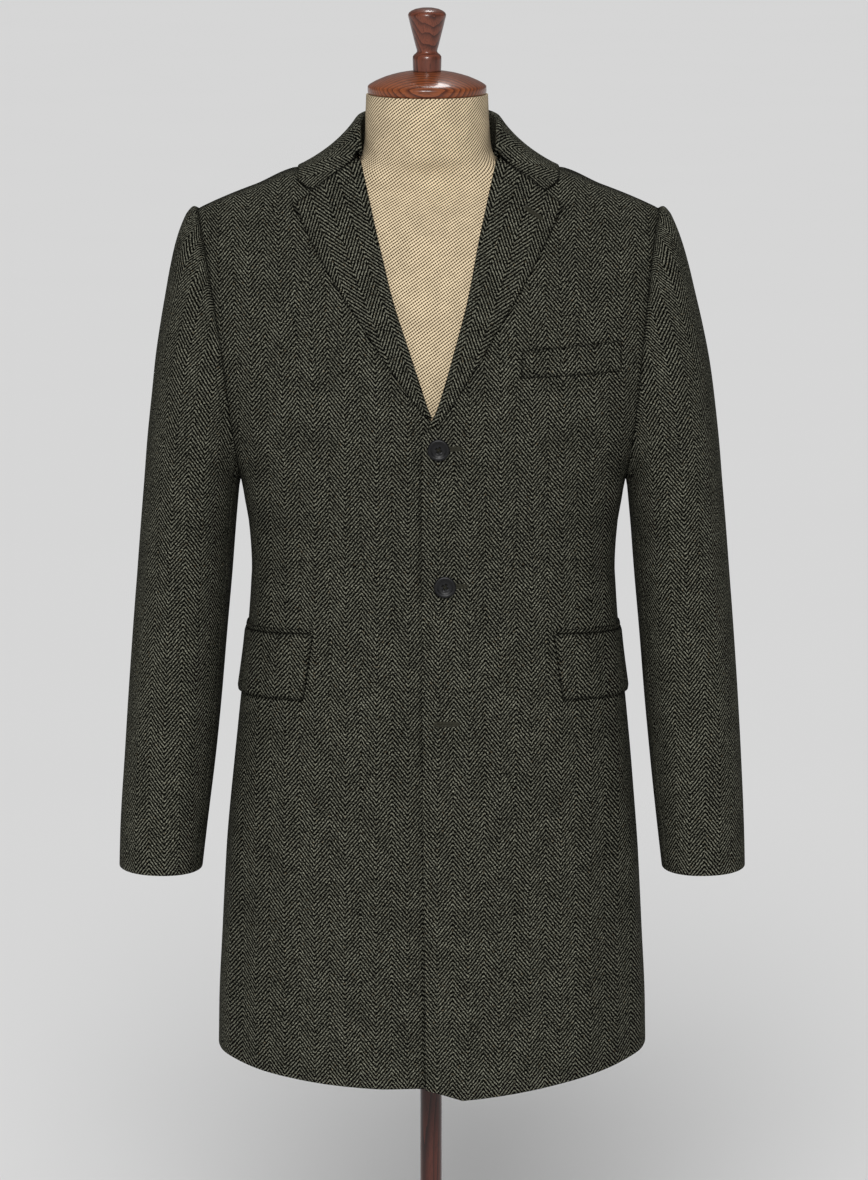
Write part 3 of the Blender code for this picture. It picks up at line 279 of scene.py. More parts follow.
# Soft creases of the sleeves: angles round the arm from the outer side towards the front
SLEEVE_CREASES = (
    (0, 96, 1.026, 168, 1.046, 8, -1.7), (0, 84, 1.052, 160, 1.072, 7, 1.0),
    (1, 100, 1.086, 172, 1.104, 8, -1.3), (-1, 92, 1.078, 165, 1.094, 8, -1.5),
    (0, 104, 0.992, 165, 1.006, 7, -1.1), (1, 60, 1.0, 118, 1.014, 9, -0.7),
    (-1, 52, 1.012, 112, 1.022, 10, -0.8), (0, 196, 1.02, 244, 1.038, 9, -1.3),
    (1, 20, 1.208, 74, 1.268, 13, -0.8), (-1, 26, 1.19, 82, 1.262, 13, -0.9),
    (0, 58, 1.33, 96, 1.24, 12, -0.9), (0, -70, 1.32, -100, 1.21, 14, -1.3),
    (0, -52, 1.12, -96, 1.08, 12, 0.9), (1, -20, 1.046, -88, 1.03, 11, -1.0),
    (-1, -8, 1.062, -80, 1.042, 11, -1.0), (0, -60, 0.905, -110, 0.89, 11, -0.7),
    (0, 30, 0.905, 84, 0.922, 12, -0.6), (1, 110, 0.88, 160, 0.896, 9, -0.7),
    (-1, 104, 0.864, 158, 0.874, 9, -0.7), (0, 10, 0.79, 40, 0.86, 13, 0.5),
)
SLEEVE_ARC = 0.062
SEAM_DITCH, SEAM_DITCH_WIDTH = 0.0005, 0.0026  # how far the cloth turns in beside a seam
SEAM_SHADE_WIDTH = 0.0050  # how far from a seam or edge the painted shade reaches

# Steaming and darts keep the pattern upright where the body turns: the share of the turn that
# the pattern follows, and where and over what angle it starts to follow it wholly
SHAPED_IN, SHAPED_TURN = 0.40, (math.radians(62), math.radians(22))

# Pockets, on the coat's surface: angles round the body from the middle front
FLAP_FRONT, FLAP_END, FLAP_SLANT = math.radians(36.5), math.radians(99), math.radians(2.0)
FLAP_TOP, FLAP_LOW = (1.0190, 1.0080), (0.9537, 0.9455)  # at the front, at the side
JET_HIGH = (0.0040, 0.0062)
WELT_CORNERS = ((0.0871, 1.3005), (0.1850, 1.3066), (0.1843, 1.2764), (0.0860, 1.2741))

# Buttons and buttonholes, seen from the front
BUTTONS = (
    ("button_top", 0.0053, 1.2056, Edge.OVER),
    ("button_middle", 0.0114, 1.0692, Edge.OVER),
    ("button_lower", 0.006, 0.9336, Edge.UNDER),
)
BUTTON_LIFT = 0.0007
FRONT_BREAK_Z = 1.222  # where the fronts part below the lapels
BUTTONHOLES = (
    ("buttonhole_top", (0.003, 1.206), (0.0272, 1.2066)),
    ("buttonhole_middle", (0.009, 1.0694), (0.0322, 1.0698)),
    ("buttonhole_lower", (0.0019, 0.934), (0.0254, 0.9342)),
)

# Turned outlines: radius and height, from the top down
CAP_OUTLINE = (
    (0.0, 0.0224), (0.011, 0.02235), (0.02, 0.022), (0.028, 0.0206), (0.035, 0.0188),
    (0.0415, 0.0168), (0.047, 0.0145), (0.0512, 0.0126), (0.0545, 0.0108), (0.057, 0.0092),
    (0.0582, 0.008), (0.0585, 0.0068), (0.0585, 0.0022), (0.0582, 0.0009), (0.0573, 0.0), (0.0, 0.0),
)
FINIAL_OUTLINE = (
    (0.0, 0.062), (0.006, 0.0617), (0.0115, 0.0606), (0.0155, 0.0588), (0.0178, 0.057),
    (0.0187, 0.055), (0.0185, 0.053), (0.0178, 0.0505), (0.0163, 0.044), (0.0145, 0.037),
    (0.0129, 0.0305), (0.0115, 0.025), (0.0104, 0.0212), (0.01, 0.0193), (0.0103, 0.0181),
    (0.0114, 0.017), (0.0129, 0.0158), (0.014, 0.0142), (0.0142, 0.0115), (0.014, 0.004),
    (0.0138, 0.0), (0.0, 0.0),
)
BASE_OUTLINE = (
    (0.0, 0.046), (0.0165, 0.046), (0.0192, 0.0452), (0.0208, 0.0432), (0.0216, 0.04),
    (0.0224, 0.0365), (0.0245, 0.0342), (0.03, 0.033), (0.06, 0.03), (0.105, 0.0277),
    (0.15, 0.0255), (0.165, 0.0242), (0.1735, 0.0218), (0.178, 0.018), (0.1796, 0.014),
    (0.18, 0.01), (0.18, 0.004), (0.1794, 0.0015), (0.178, 0.0), (0.0, 0.0),
)
BUTTON_OUTLINE = (
    (0.0, 0.0018), (0.0045, 0.0018), (0.006, 0.0019), (0.007, 0.0023), (0.0078, 0.0029),
    (0.0087, 0.0032), (0.0096, 0.0031), (0.0104, 0.0026), (0.0108, 0.0019), (0.0107, 0.0011),
    (0.01, 0.0005), (0.0086, 0.0), (0.0, 0.0),
)


def unit(vectors: np.ndarray) -> np.ndarray:
    """Scale vectors to a length of one."""
    return vectors / np.linalg.norm(vectors, axis=-1, keepdims=True)


def power(value: np.ndarray | float, exponent: float) -> np.ndarray:
    """Raise to a power and keep the sign."""
    return np.sign(value) * np.abs(value) ** exponent


def smooth(share: np.ndarray | float) -> np.ndarray:
    """Ease a share in and out between 0 and 1."""
    share = np.clip(share, 0, 1)
    return share * share * (3 - 2 * share)


def offset(points: np.ndarray, normals: np.ndarray, distance: np.ndarray | float) -> np.ndarray:
    """Move points along their outward directions."""
    return points + normals * np.asarray(distance)[..., None]


def place(points: np.ndarray, side: Side = Side.LEFT) -> np.ndarray:
    """Put points of the wearer's left half on either side, with the coat's lean."""
    moved = np.array(points, float)
    moved[..., 0] = side.value * moved[..., 0] + LEAN.at("x", moved[..., 2])
    return moved


def creases(rows: Sequence[tuple], side: Side, angle: np.ndarray, height: np.ndarray,
            arc: float) -> np.ndarray:
    """Add up soft creases at points of a surface.

    Args:
        rows: Creases, as BODY_CREASES gives them.
        side: The side that the points are on.
        angle: Each point's angle, in radians.
        height: Each point's height.
        arc: Metres to a radian.

    Returns:
        How far each point moves outwards.
    """
    total = np.zeros(np.broadcast(angle, height).shape)
    for row_side, angle_0, z_0, angle_1, z_1, width, depth in rows:
        if row_side not in (0, side.value):
            continue
        start = np.array([math.radians(angle_0) * arc, z_0])
        run = np.array([math.radians(angle_1) * arc, z_1]) - start
        across, along = angle * arc - start[0], height - start[1]
        share = (across * run[0] + along * run[1]) / (run @ run)
        held = np.clip(share, 0, 1)
        away = np.hypot(across - held * run[0], along - held * run[1])
        fade = np.sin(np.pi * (0.08 + 0.84 * held)) ** 0.8
        total += depth * MM * fade * np.exp(-((away / (width * MM)) ** 2))
    return total


class CoatSurface:
    """The outer surface of the coat's body, for the wearer's left half."""

    @staticmethod
    def ridge(x: np.ndarray | float) -> np.ndarray:
        """Height of the shoulder line, rounded over at the middle."""
        s = np.clip((np.abs(x) - NECK_X) / (TIP_X - NECK_X), 0, 1)
        neck, tip = math.hypot(NECK_X, RIDGE_ROUND), math.hypot(TIP_X, RIDGE_ROUND)
        slope = (NECK_Z - TIP_Z) / (tip - neck)
        return NECK_Z - slope * (np.hypot(x, RIDGE_ROUND) - neck) + SHOULDER_ARCH * s * s * (1 - s)

    @classmethod
    def rounding(cls, x: np.ndarray, z: np.ndarray, back: np.ndarray | bool) -> np.ndarray:
        """Give 1 below the underarm, falling to 0 at the shoulder line."""
        exponent = np.where(back, BACK_SHOULDER_POWER, FRONT_SHOULDER_POWER)
        share = np.clip((z - UNDERARM_Z) / (cls.ridge(x) - UNDERARM_Z), 0, 1)
        return (1 - share**exponent) ** (1 / PLAN_POWER)

    @staticmethod
    def depth(z: np.ndarray, back: np.ndarray | bool) -> np.ndarray:
        """Depth of the body from its middle to the front or the back."""
        return np.where(back, BODY.at("back", z), BODY.at("front", z))

    @classmethod
    def y(cls, x: np.ndarray, z: np.ndarray, back: np.ndarray | bool = False) -> np.ndarray:
        """Where the surface lies, front to back."""
        across = np.clip(np.abs(x) / BODY.at("half", z), 0, 1) ** PLAN_POWER
        out = cls.depth(z, back) * (1 - across) ** (1 / PLAN_POWER) * cls.rounding(x, z, back)
        return np.where(back, out, -out)

    @classmethod
    def level(cls, x: np.ndarray, y: np.ndarray, z: np.ndarray, back: np.ndarray) -> np.ndarray:
        """Give 1 on the surface, and more outside it."""
        reach = cls.depth(z, back) * np.maximum(cls.rounding(x, z, back), 1e-4)
        return (np.abs(x) / BODY.at("half", z)) ** PLAN_POWER + (np.abs(y) / reach) ** PLAN_POWER

    @classmethod
    def normal(cls, x: np.ndarray, y: np.ndarray, z: np.ndarray, back: np.ndarray) -> np.ndarray:
        """Outward direction of the surface."""
        step = 2e-5
        slopes = []
        for axis in range(3):
            low, high = [x, y, z], [x, y, z]
            low[axis], high[axis] = low[axis] - step, high[axis] + step
            slopes.append(cls.level(*high, back) - cls.level(*low, back))
        return unit(np.stack(slopes, axis=-1))

    @classmethod
    def round(cls, angle: np.ndarray, z: np.ndarray) -> tuple:
        """Find the point below the underarm at an angle from the middle front."""
        back = np.cos(angle) < 0
        x = BODY.at("half", z) * power(np.sin(angle), 2 / PLAN_POWER)
        y = -cls.depth(z, back) * power(np.cos(angle), 2 / PLAN_POWER)
        return x, y, z, back

    @staticmethod
    def side_seam(z: np.ndarray | float) -> np.ndarray:
        """Angle of the side seam, which drifts to the back below the underarm."""
        return math.pi / 2 + SIDE_SEAM_SHIFT * smooth((UNDERARM_Z - z) / SIDE_SEAM_RUN)

    @staticmethod
    def angle_at(x: np.ndarray, z: np.ndarray) -> np.ndarray:
        """Angle round the body of a point seen from the front."""
        return np.arcsin(np.clip(power(x / BODY.at("half", z), PLAN_POWER / 2), -1, 1))

    @classmethod
    def height(cls, x: np.ndarray, y: np.ndarray) -> np.ndarray:
        """Height of the upper surface above a place."""
        x, y = np.broadcast_arrays(np.asarray(x, float), np.asarray(y, float))
        back = y > 0
        exponent = np.where(back, BACK_SHOULDER_POWER, FRONT_SHOULDER_POWER)
        z = cls.ridge(x) - 0.01
        for _ in range(12):
            share = (np.abs(x) / BODY.at("half", z)) ** PLAN_POWER
            reach = cls.depth(z, back) * (1 - share) ** (1 / PLAN_POWER)
            inside = np.clip(1 - (np.abs(y) / reach) ** PLAN_POWER, 1e-6, 1)
            z = UNDERARM_Z + (cls.ridge(x) - UNDERARM_Z) * inside ** (1 / exponent)
        return z

    @classmethod
    def relief(cls, side: Side, points: np.ndarray, back: np.ndarray | bool) -> np.ndarray:
        """Creases at points of the body, faded out at the armhole, neck and shoulder.

        Args:
            side: The side that the points are on.
            points: Points of the wearer's left half.
            back: Which of them lie behind the side line.

        Returns:
            How far each point moves outwards.
        """
        x, z = points[..., 0], points[..., 2]
        angle = cls.angle_at(x, z)
        angle = np.where(back, math.pi - angle, angle)
        moved = creases(BODY_CREASES, side, angle, z, BODY_ARC)
        armhole = smooth((ARMHOLE.at("x", z) - x) / ARMHOLE_FADE)
        armhole = np.where(z < UNDERARM_Z, smooth((UNDERARM_Z - z) / UNDERARM_FADE), armhole)
        top = cls.ridge(x)
        shoulder = np.clip((z - UNDERARM_Z) / (top - UNDERARM_Z), 0, 1)
        shoulder = smooth((1 - shoulder) / SHOULDER_FADE)
        rise, rise_from, rise_end, depth = SHOULDER_RISE
        seat = smooth((x - rise_from) / SHOULDER_RUNS[0]) * smooth((rise_end - x) / SHOULDER_RUNS[1])
        seat = rise * seat * smooth((z - top + depth) / depth)
        return moved * np.where(z < UNDERARM_Z - UNDERARM_FADE, 1.0, armhole) * shoulder + seat

    @classmethod
    def on_front(cls, x: np.ndarray, z: np.ndarray, lift: np.ndarray | float,
                 side: Side = Side.LEFT, dip: bool = False) -> tuple[np.ndarray, np.ndarray]:
        """Find points above the front panel, with its creases.

        Args:
            x, z: The place seen from the front, on the wearer's left half.
            lift: Distance above the cloth.
            side: The side whose creases count.
            dip: Whether the front is the one pressed in under the overlap.

        Returns:
            The points and the surface's outward directions.
        """
        x, z = np.asarray(x, float), np.asarray(z, float)
        z = np.minimum(z, cls.ridge(x) - 1e-5)
        y = cls.y(x, z)
        normal = cls.normal(x, y, z, np.zeros(x.shape, bool))
        points = np.stack([x, y, z], axis=-1)
        lift = lift + cls.relief(side, points, False) - (under_dip(points) if dip else 0.0)
        return offset(points, normal, lift), normal

    @classmethod
    def cloth(cls, angle: np.ndarray, x: np.ndarray, z: np.ndarray, back: bool) -> np.ndarray:
        """Give each point its place in the flat cloth: along the weft, and up the warp.

        Args:
            angle: Angle round the body from the middle front.
            x, z: The place seen from the front.
            back: Whether the piece is cut from the middle back.

        Returns:
            Distances in metres, measured from the middle of the piece's own side.
        """
        start = math.pi if back else 0.0
        level = np.minimum(z, PATTERN_TOP_Z)
        shares = np.linspace(0, 1, CURVE_STEPS)
        turned = [start + (angle - start) * t for t in shares]
        ring = [cls.round(turn, level)[:2] for turn in turned]
        across = 0.0
        for a, b, turn in zip(ring, ring[1:], turned[1:]):
            beside = smooth((np.arcsin(np.abs(np.sin(turn))) - SHAPED_TURN[0]) / SHAPED_TURN[1])
            pulled = SHAPED_IN + (1 - SHAPED_IN) * beside
            across = across + np.hypot(b[0] - a[0], (b[1] - a[1]) * pulled)
        across = across * np.sign(angle - start) * (-1 if back else 1)
        rise, held = np.maximum(z - UNDERARM_Z, 0), np.minimum(np.abs(x), PATTERN_REACH)
        # Near the shoulder line the warp follows the cloth's own turn over it
        line = [(cls.y(held, UNDERARM_Z + rise * t, back), cls.y(x, UNDERARM_Z + rise * t, back),
                 rise * t) for t in shares]
        up, full = 0.0, np.maximum(cls.ridge(x) - UNDERARM_Z, 1e-6)
        for a, b in zip(line, line[1:]):
            own = smooth((b[2] / full - PATTERN_TURN[0]) / PATTERN_TURN[1])
            up = up + np.hypot((b[0] - a[0]) * (1 - own) + (b[1] - a[1]) * own, b[2] - a[2])
        return np.stack([across, np.minimum(z, UNDERARM_Z) + up], axis=-1)


def under_dip(points: np.ndarray) -> np.ndarray:
    """How far the under front is pressed in where the other front laps over it."""
    share = smooth((LAP_FROM - points[..., 0]) / (LAP_FROM - LAP_FULL))
    fade = smooth((DIP_TOP - points[..., 2]) / DIP_FADE)
    return OVERLAP_DIP.at("dip", points[..., 2]) * share * fade


def edge_distance(points: np.ndarray, axis: int, last: bool) -> np.ndarray:
    """Measure along a grid's rows or columns how far each point is from one edge."""
    steps = np.linalg.norm(np.diff(points, axis=axis), axis=-1)
    run = np.cumsum(steps, axis=axis)
    zero = np.zeros_like(np.take(run, [0], axis=axis))
    away = np.concatenate([zero, run], axis=axis)
    return np.take(away, [-1], axis=axis) - away if last else away


def ditch(away: np.ndarray) -> np.ndarray:
    """How far the cloth turns in at a distance from a seam."""
    return -SEAM_DITCH * np.exp(-((away / SEAM_DITCH_WIDTH) ** 2))


ALL_EDGES = ((0, False), (0, True), (1, False), (1, True))


@dataclass
class ClothShell:
    """One cut piece of cloth: a grid of outer points, one of inner points and its flat cut."""

    name: str
    outer: np.ndarray
    inner: np.ndarray
    cut: np.ndarray
    edge_round: float = 0.0008
    seams: Sequence[tuple[int, bool]] = ()  # edges that end in a seam: the axis, and if it's the last
    shade: np.ndarray | None = None  # where else painted shade darkens the colour

    def build(self, finish: bpy.types.Material) -> bpy.types.Object:
        """Extrude a grid into a closed wall, lay both sheets in place and round the rim.

        Args:
            finish: The cloth's material.

        Returns:
            The piece.
        """
        rows, columns = self.outer.shape[:2]
        bm = bmesh.new()
        bmesh.ops.create_grid(bm, x_segments=columns - 1, y_segments=rows - 1, size=1.0)
        home = bm.verts.layers.int.new("home")
        bm.verts.ensure_lookup_table()
        for index, vertex in enumerate(bm.verts):
            vertex[home] = index
        grown = bmesh.ops.extrude_face_region(bm, geom=bm.faces[:], use_keep_orig=True)
        raised = {part for part in grown["geom"] if isinstance(part, bmesh.types.BMVert)}
        outer, inner = self.outer.reshape(-1, 3), self.inner.reshape(-1, 3)
        cut = self.cut.reshape(-1, 2)
        shade = np.zeros(len(outer)) if self.shade is None else self.shade.reshape(-1)
        # Painted shade: a share falling from 1 at each listed seam or edge to 0 at SEAM_SHADE_WIDTH
        for axis, last in self.seams:
            away = edge_distance(self.outer, axis, last).reshape(-1)
            shade = np.maximum(shade, np.clip(1 - away / SEAM_SHADE_WIDTH, 0, 1))
        for vertex in bm.verts:
            vertex.co = (outer if vertex in raised else inner)[vertex[home]]
        bmesh.ops.recalc_face_normals(bm, faces=bm.faces)
        if bm.calc_volume(signed=True) < 0:
            bmesh.ops.reverse_faces(bm, faces=bm.faces)
        # The Seam map's first value carries the painted shade share
        cloth, seam = bm.loops.layers.uv.new("Cloth"), bm.loops.layers.uv.new("Seam")
        for face in bm.faces:
            for loop in face.loops:
                loop[cloth].uv = cut[loop.vert[home]]
                loop[seam].uv = (shade[loop.vert[home]], 0.0)
        rim = [edge for edge in bm.edges if len(edge.link_faces) == 2
               and edge.calc_face_angle(0.0) > math.radians(45)
               and (edge.verts[0] in raised) == (edge.verts[1] in raised)]
        bmesh.ops.bevel(bm, geom=rim, offset=self.edge_round, offset_type="OFFSET", segments=2,
                        profile=0.5, affect="EDGES", clamp_overlap=True, material=-1)
        return finished(f"{self.name}_cloth", bm, finish)


def wall(name: str, side: Side, points: np.ndarray, normals: np.ndarray, high: np.ndarray | float,
         low: np.ndarray | float, cut: np.ndarray, cloth: bpy.types.Material,
         edge_round: float = 0.0008, seams: Sequence[tuple[int, bool]] = (),
         shade: np.ndarray | None = None) -> bpy.types.Object:
    """Make a node's wall of cloth at two distances from a surface.

    Args:
        name: The node's name.
        side: The side that the piece is put on.
        points, normals: The surface, for the wearer's left half, and its outward directions.
        high, low: Distances of the outer and the inner face.
        cut: Each point's place in the flat cloth.
        cloth: The material.
        edge_round, seams, shade: As ClothShell takes them.

    Returns:
        The piece.
    """
    shell = ClothShell(name, place(offset(points, normals, high), side),
                       place(offset(points, normals, low), side), cut, edge_round, seams, shade)
    return show(shell.build(cloth), "tweed", name)


def finished(name: str, bm: bmesh.types.BMesh, finish: bpy.types.Material,
             smooth_angle: float = 60.0) -> bpy.types.Object:
    """Make an object of a bmesh, shaded smooth.

    Args:
        name: The object's name.
        bm: The mesh, in its place. It is freed.
        finish: Its material.
        smooth_angle: Edges sharper than this many degrees stay sharp.

    Returns:
        The object, at the origin.
    """
    mesh = bpy.data.meshes.new(name)
    bm.to_mesh(mesh)
    bm.free()
    mesh.materials.append(finish)
    mesh.shade_smooth()
    mesh.set_sharp_from_angle(angle=math.radians(smooth_angle))
    thing = bpy.data.objects.new(name, mesh)
    bpy.context.scene.collection.objects.link(thing)
    return thing


def show(piece: bpy.types.Object, slot: str, *nodes: str) -> bpy.types.Object:
    """Attach a piece to the frame's root body, and hide the nodes that it stands for."""
    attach(piece, "root")
    if nodes:
        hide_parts(*nodes)
    return piece


def linear(colour: str) -> tuple[float, float, float, float]:
    """Turn an sRGB hex colour into linear red, green, blue and alpha."""
    values = [int(colour[i:i + 2], 16) / 255 for i in (1, 3, 5)]
    return (*(v / 12.92 if v <= 0.04045 else ((v + 0.055) / 1.055) ** 2.4 for v in values), 1.0)


def add_node(tree: bpy.types.NodeTree, kind: str, settings: dict | None = None,
             inputs: dict | None = None) -> bpy.types.Node:
    """Add a node to a tree.

    Args:
        tree: The material's tree.
        kind: The node's type.
        settings: Properties of the node.
        inputs: For each input's name or number, a value or the socket that feeds it.

    Returns:
        The node.
    """
    node = tree.nodes.new(kind)
    for name, value in (settings or {}).items():
        setattr(node, name, value)
    for name, value in (inputs or {}).items():
        if isinstance(value, bpy.types.NodeSocket):
            tree.links.new(value, node.inputs[name])
        else:
            node.inputs[name].default_value = value
    return node


class Finish:
    """A material in the making: its tree, and short ways to add to it."""

    def __init__(self, name: str) -> None:
        """Start an empty material with a Principled shader."""
        self.material = bpy.data.materials.new(name)
        self.material.use_nodes = True
        self.tree = self.material.node_tree
        self.shader = self.tree.nodes["Principled BSDF"]

    def add(self, kind: str, settings: dict | None = None,
            inputs: dict | None = None) -> bpy.types.Node:
        """Add a node to this material."""
        return add_node(self.tree, kind, settings, inputs)

    def math(self, operation: str, *values: object) -> bpy.types.NodeSocket:
        """Add a Math node and give its result."""
        return self.add("ShaderNodeMath", {"operation": operation}, dict(enumerate(values))).outputs[0]

    def uv(self, name: str = "Cloth") -> bpy.types.NodeSocket:
        """Read one of the piece's own UV maps."""
        return self.add("ShaderNodeUVMap", {"uv_map": name}).outputs["UV"]

    def spot(self) -> bpy.types.NodeSocket:
        """Read the Object coordinates."""
        return self.add("ShaderNodeTexCoord").outputs["Object"]

    def split(self, vector: bpy.types.NodeSocket) -> tuple[bpy.types.NodeSocket, ...]:
        """Take a vector's X and Y."""
        node = self.add("ShaderNodeSeparateXYZ", {}, {"Vector": vector})
        return node.outputs["X"], node.outputs["Y"]

    def sine(self, value: bpy.types.NodeSocket, pitch_mm: float) -> bpy.types.NodeSocket:
        """Give a wave of a real length."""
        return self.math("SINE", self.math("MULTIPLY", value, 2 * math.pi / (pitch_mm * MM)))

    def scaled(self, colour: object, share: bpy.types.NodeSocket) -> bpy.types.NodeSocket:
        """Make a colour brighter or darker by a share."""
        return self.vector("SCALE", {0: colour, "Scale": share})

    def vector(self, operation: str, inputs: dict, output: str = "Vector") -> bpy.types.NodeSocket:
        """Add a Vector Math node and give its result."""
        return self.add("ShaderNodeVectorMath", {"operation": operation}, inputs).outputs[output]

    def wandering(self, vector: bpy.types.NodeSocket, size_mm: float, reach_mm: float,
                  detail: float, roughness: float = 0.5) -> bpy.types.NodeSocket:
        """Bend coordinates by noise.

        Args:
            vector: The coordinates.
            size_mm: Size of the noise's features.
            reach_mm: How far they bend the coordinates.
            detail, roughness: The noise's own settings.

        Returns:
            The bent coordinates.
        """
        node = self.add("ShaderNodeTexNoise", {"noise_dimensions": "3D"},
                        {"Vector": vector, "Scale": 1 / (size_mm * MM), "Detail": detail,
                         "Roughness": roughness})
        return self.vector("MULTIPLY_ADD", {0: node.outputs["Color"], 1: (reach_mm * MM,) * 3,
                                            2: vector})

    def drive(self, **sockets: bpy.types.NodeSocket) -> None:
        """Link results to the shader's inputs, with _ for a space."""
        for name, socket in sockets.items():
            self.tree.links.new(socket, self.shader.inputs[name.replace("_", " ")])

    def ramp(self, value: bpy.types.NodeSocket, low: float, high: float, to_low: float = 0.0,
             to_high: float = 1.0) -> bpy.types.NodeSocket:
        """Map a range smoothly onto another."""
        node = self.add("ShaderNodeMapRange", {"interpolation_type": "SMOOTHSTEP"},
                        {"Value": value, "From Min": low, "From Max": high, "To Min": to_low,
                         "To Max": to_high})
        return node.outputs["Result"]

    def mix(self, share: object, first: object, second: object,
            blend: str = "MIX") -> bpy.types.NodeSocket:
        """Mix two colours."""
        node = self.add("ShaderNodeMix", {"data_type": "RGBA", "blend_type": blend},
                        {"Factor": share, "A": first, "B": second})
        return node.outputs["Result"]

    def noise(self, vector: bpy.types.NodeSocket, size_mm: float, detail: float = 2.0,
              roughness: float = 0.5) -> bpy.types.NodeSocket:
        """Give noise whose features have a real size."""
        node = self.add("ShaderNodeTexNoise", {"noise_dimensions": "3D"},
                        {"Vector": vector, "Scale": 1 / (size_mm * MM), "Detail": detail,
                         "Roughness": roughness})
        return node.outputs["Fac"]

    def bump(self, height: bpy.types.NodeSocket, distance_mm: float,
             strength: float = 1.0) -> None:
        """Raise the surface by a height."""
        node = self.add("ShaderNodeBump", {}, {"Height": height, "Distance": distance_mm * MM,
                                               "Strength": strength})
        self.drive(Normal=node.outputs["Normal"])

    def set(self, **values: float) -> None:
        """Set constants on the shader's own sockets, with _ for a space."""
        for name, value in values.items():
            self.shader.inputs[name.replace("_", " ")].default_value = value


@dataclass(frozen=True)
class HerringboneTweed:
    """Woollen tweed, woven as a herringbone: pale olive-grey floats on a near-black ground."""

    name: str = "woollen_herringbone_tweed"
    pale: str = "#66665a"
    dark: str = "#040403"
    brown: str = "#54452f"
    leg_mm: float = 15.3  # one slant of the zigzag
    rise_mm: float = 4.5  # up the warp, from one pale line to the next
    steepness: float = 1.26
    thread_mm: float = 1.12
    first_peak_mm: float = 21.2

    def build(self) -> bpy.types.Material:
        """Build the material, on the piece's flat cut.

        Returns:
            The material.
        """
        make = Finish(self.name)
        cut = make.uv()
        weft, warp = make.split(make.wandering(cut, 5, 1.9, 3.0, 0.6))
        # The zigzag's distance from its last turn, then a wave up the warp slanted by it
        turned = make.math("PINGPONG", make.math("SUBTRACT", weft, self.first_peak_mm * MM),
                           self.leg_mm * MM)
        slanted = make.math("MULTIPLY_ADD", turned, self.steepness, warp)
        wave = make.sine(slanted, self.rise_mm)
        # Each pale line is a row of short floats, one thread wide, under a nap of loose fibre
        nap = make.noise(cut, 1.3, 2.0, 0.65)
        line = make.math("MULTIPLY_ADD", make.sine(weft, self.thread_mm), 0.12, wave)
        line = make.math("MULTIPLY_ADD", make.math("SUBTRACT", nap, 0.5), 6.0, line)
        pale_share = make.ramp(line, 0.0, 1.10)
        # Carded wool is uneven: cloudy patches, pale slubs and a few brown flecks
        cloud = make.ramp(make.noise(cut, 30, 3.0, 0.6), 0.3, 0.7, 0.84, 1.14)
        fleck = make.ramp(make.noise(cut, 3.1, 1.0), 0.64, 0.72)
        slub = make.ramp(make.noise(cut, 1.9, 2.0, 0.6), 0.36, 0.68, 0.62, 1.75)
        pale = make.mix(make.math("MULTIPLY", fleck, 0.6), linear(self.pale), linear(self.brown))
        tinted = make.scaled(pale, make.math("MULTIPLY", cloud, slub))
        colour = make.mix(pale_share, linear(self.dark), tinted)
        # The cloth dips into its seams and folded edges in the geometry; here painted shade darkens the
        # colour towards the dark ground beside them and beside the lapping edge, read from the Seam map
        close, _ = make.split(make.uv("Seam"))
        # pressed is the share of painted shade
        pressed = make.math("MULTIPLY", make.math("POWER", close, 2.0), 0.78)
        make.drive(Base_Color=make.mix(pressed, colour, linear(self.dark)))
        # Napped wool traps light: no gloss at all, and no bloom at grazing angles
        make.set(Roughness=0.95, Specular_IOR_Level=0.03, Sheen_Weight=0.0)
        fuzz = make.noise(cut, 0.9, 2.0, 0.7)
        make.bump(make.math("MULTIPLY_ADD", fuzz, 0.8, pale_share), 0.25, 0.8)
        return make.material


@dataclass(frozen=True)
class ButtonholeTwist:
    """Matt silk twist, worked over the edge of a buttonhole in close stitches."""

    name: str = "olive_buttonhole_twist"
    thread: str = "#2f2e21"
    shadow: str = "#15140d"
    stitch_mm: float = 0.9

    def build(self) -> bpy.types.Material:
        """Build the material: close cross stitches along the thread's own map."""
        make = Finish(self.name)
        cut = make.uv()
        stitch = make.sine(make.split(cut)[0], self.stitch_mm)
        share = make.math("MULTIPLY_ADD", make.noise(cut, 1.0), 0.6, make.ramp(stitch, -1, 1))
        make.drive(Base_Color=make.mix(make.ramp(share, 0.1, 1.1), linear(self.shadow),
                                       linear(self.thread)))
        make.set(Roughness=0.7, Specular_IOR_Level=0.3)
        make.bump(stitch, 0.18, 0.8)
        return make.material


@dataclass(frozen=True)
class DarkHorn:
    """Polished dark horn: near black, with a faint cloudy streak and a soft gloss."""

    name: str = "polished_dark_horn"
    ground: str = "#050506"
    streak: str = "#0e0e10"

    def build(self) -> bpy.types.Material:
        """Build the material, on Object coordinates."""
        make = Finish(self.name)
        spot = make.spot()
        stretched = make.add("ShaderNodeMapping", {}, {"Vector": spot, "Scale": (1, 1, 3.5)})
        cloud = make.ramp(make.noise(stretched.outputs[0], 9, 4.0, 0.6), 0.4, 0.75)
        make.drive(Base_Color=make.mix(cloud, linear(self.ground), linear(self.streak)),
                   Roughness=make.ramp(make.noise(spot, 2.0, 3.0), 0.3, 0.7, 0.36, 0.50))
        make.set(Specular_IOR_Level=0.3)
        make.bump(make.noise(spot, 1.2, 2.0), 0.03, 0.5)
        return make.material


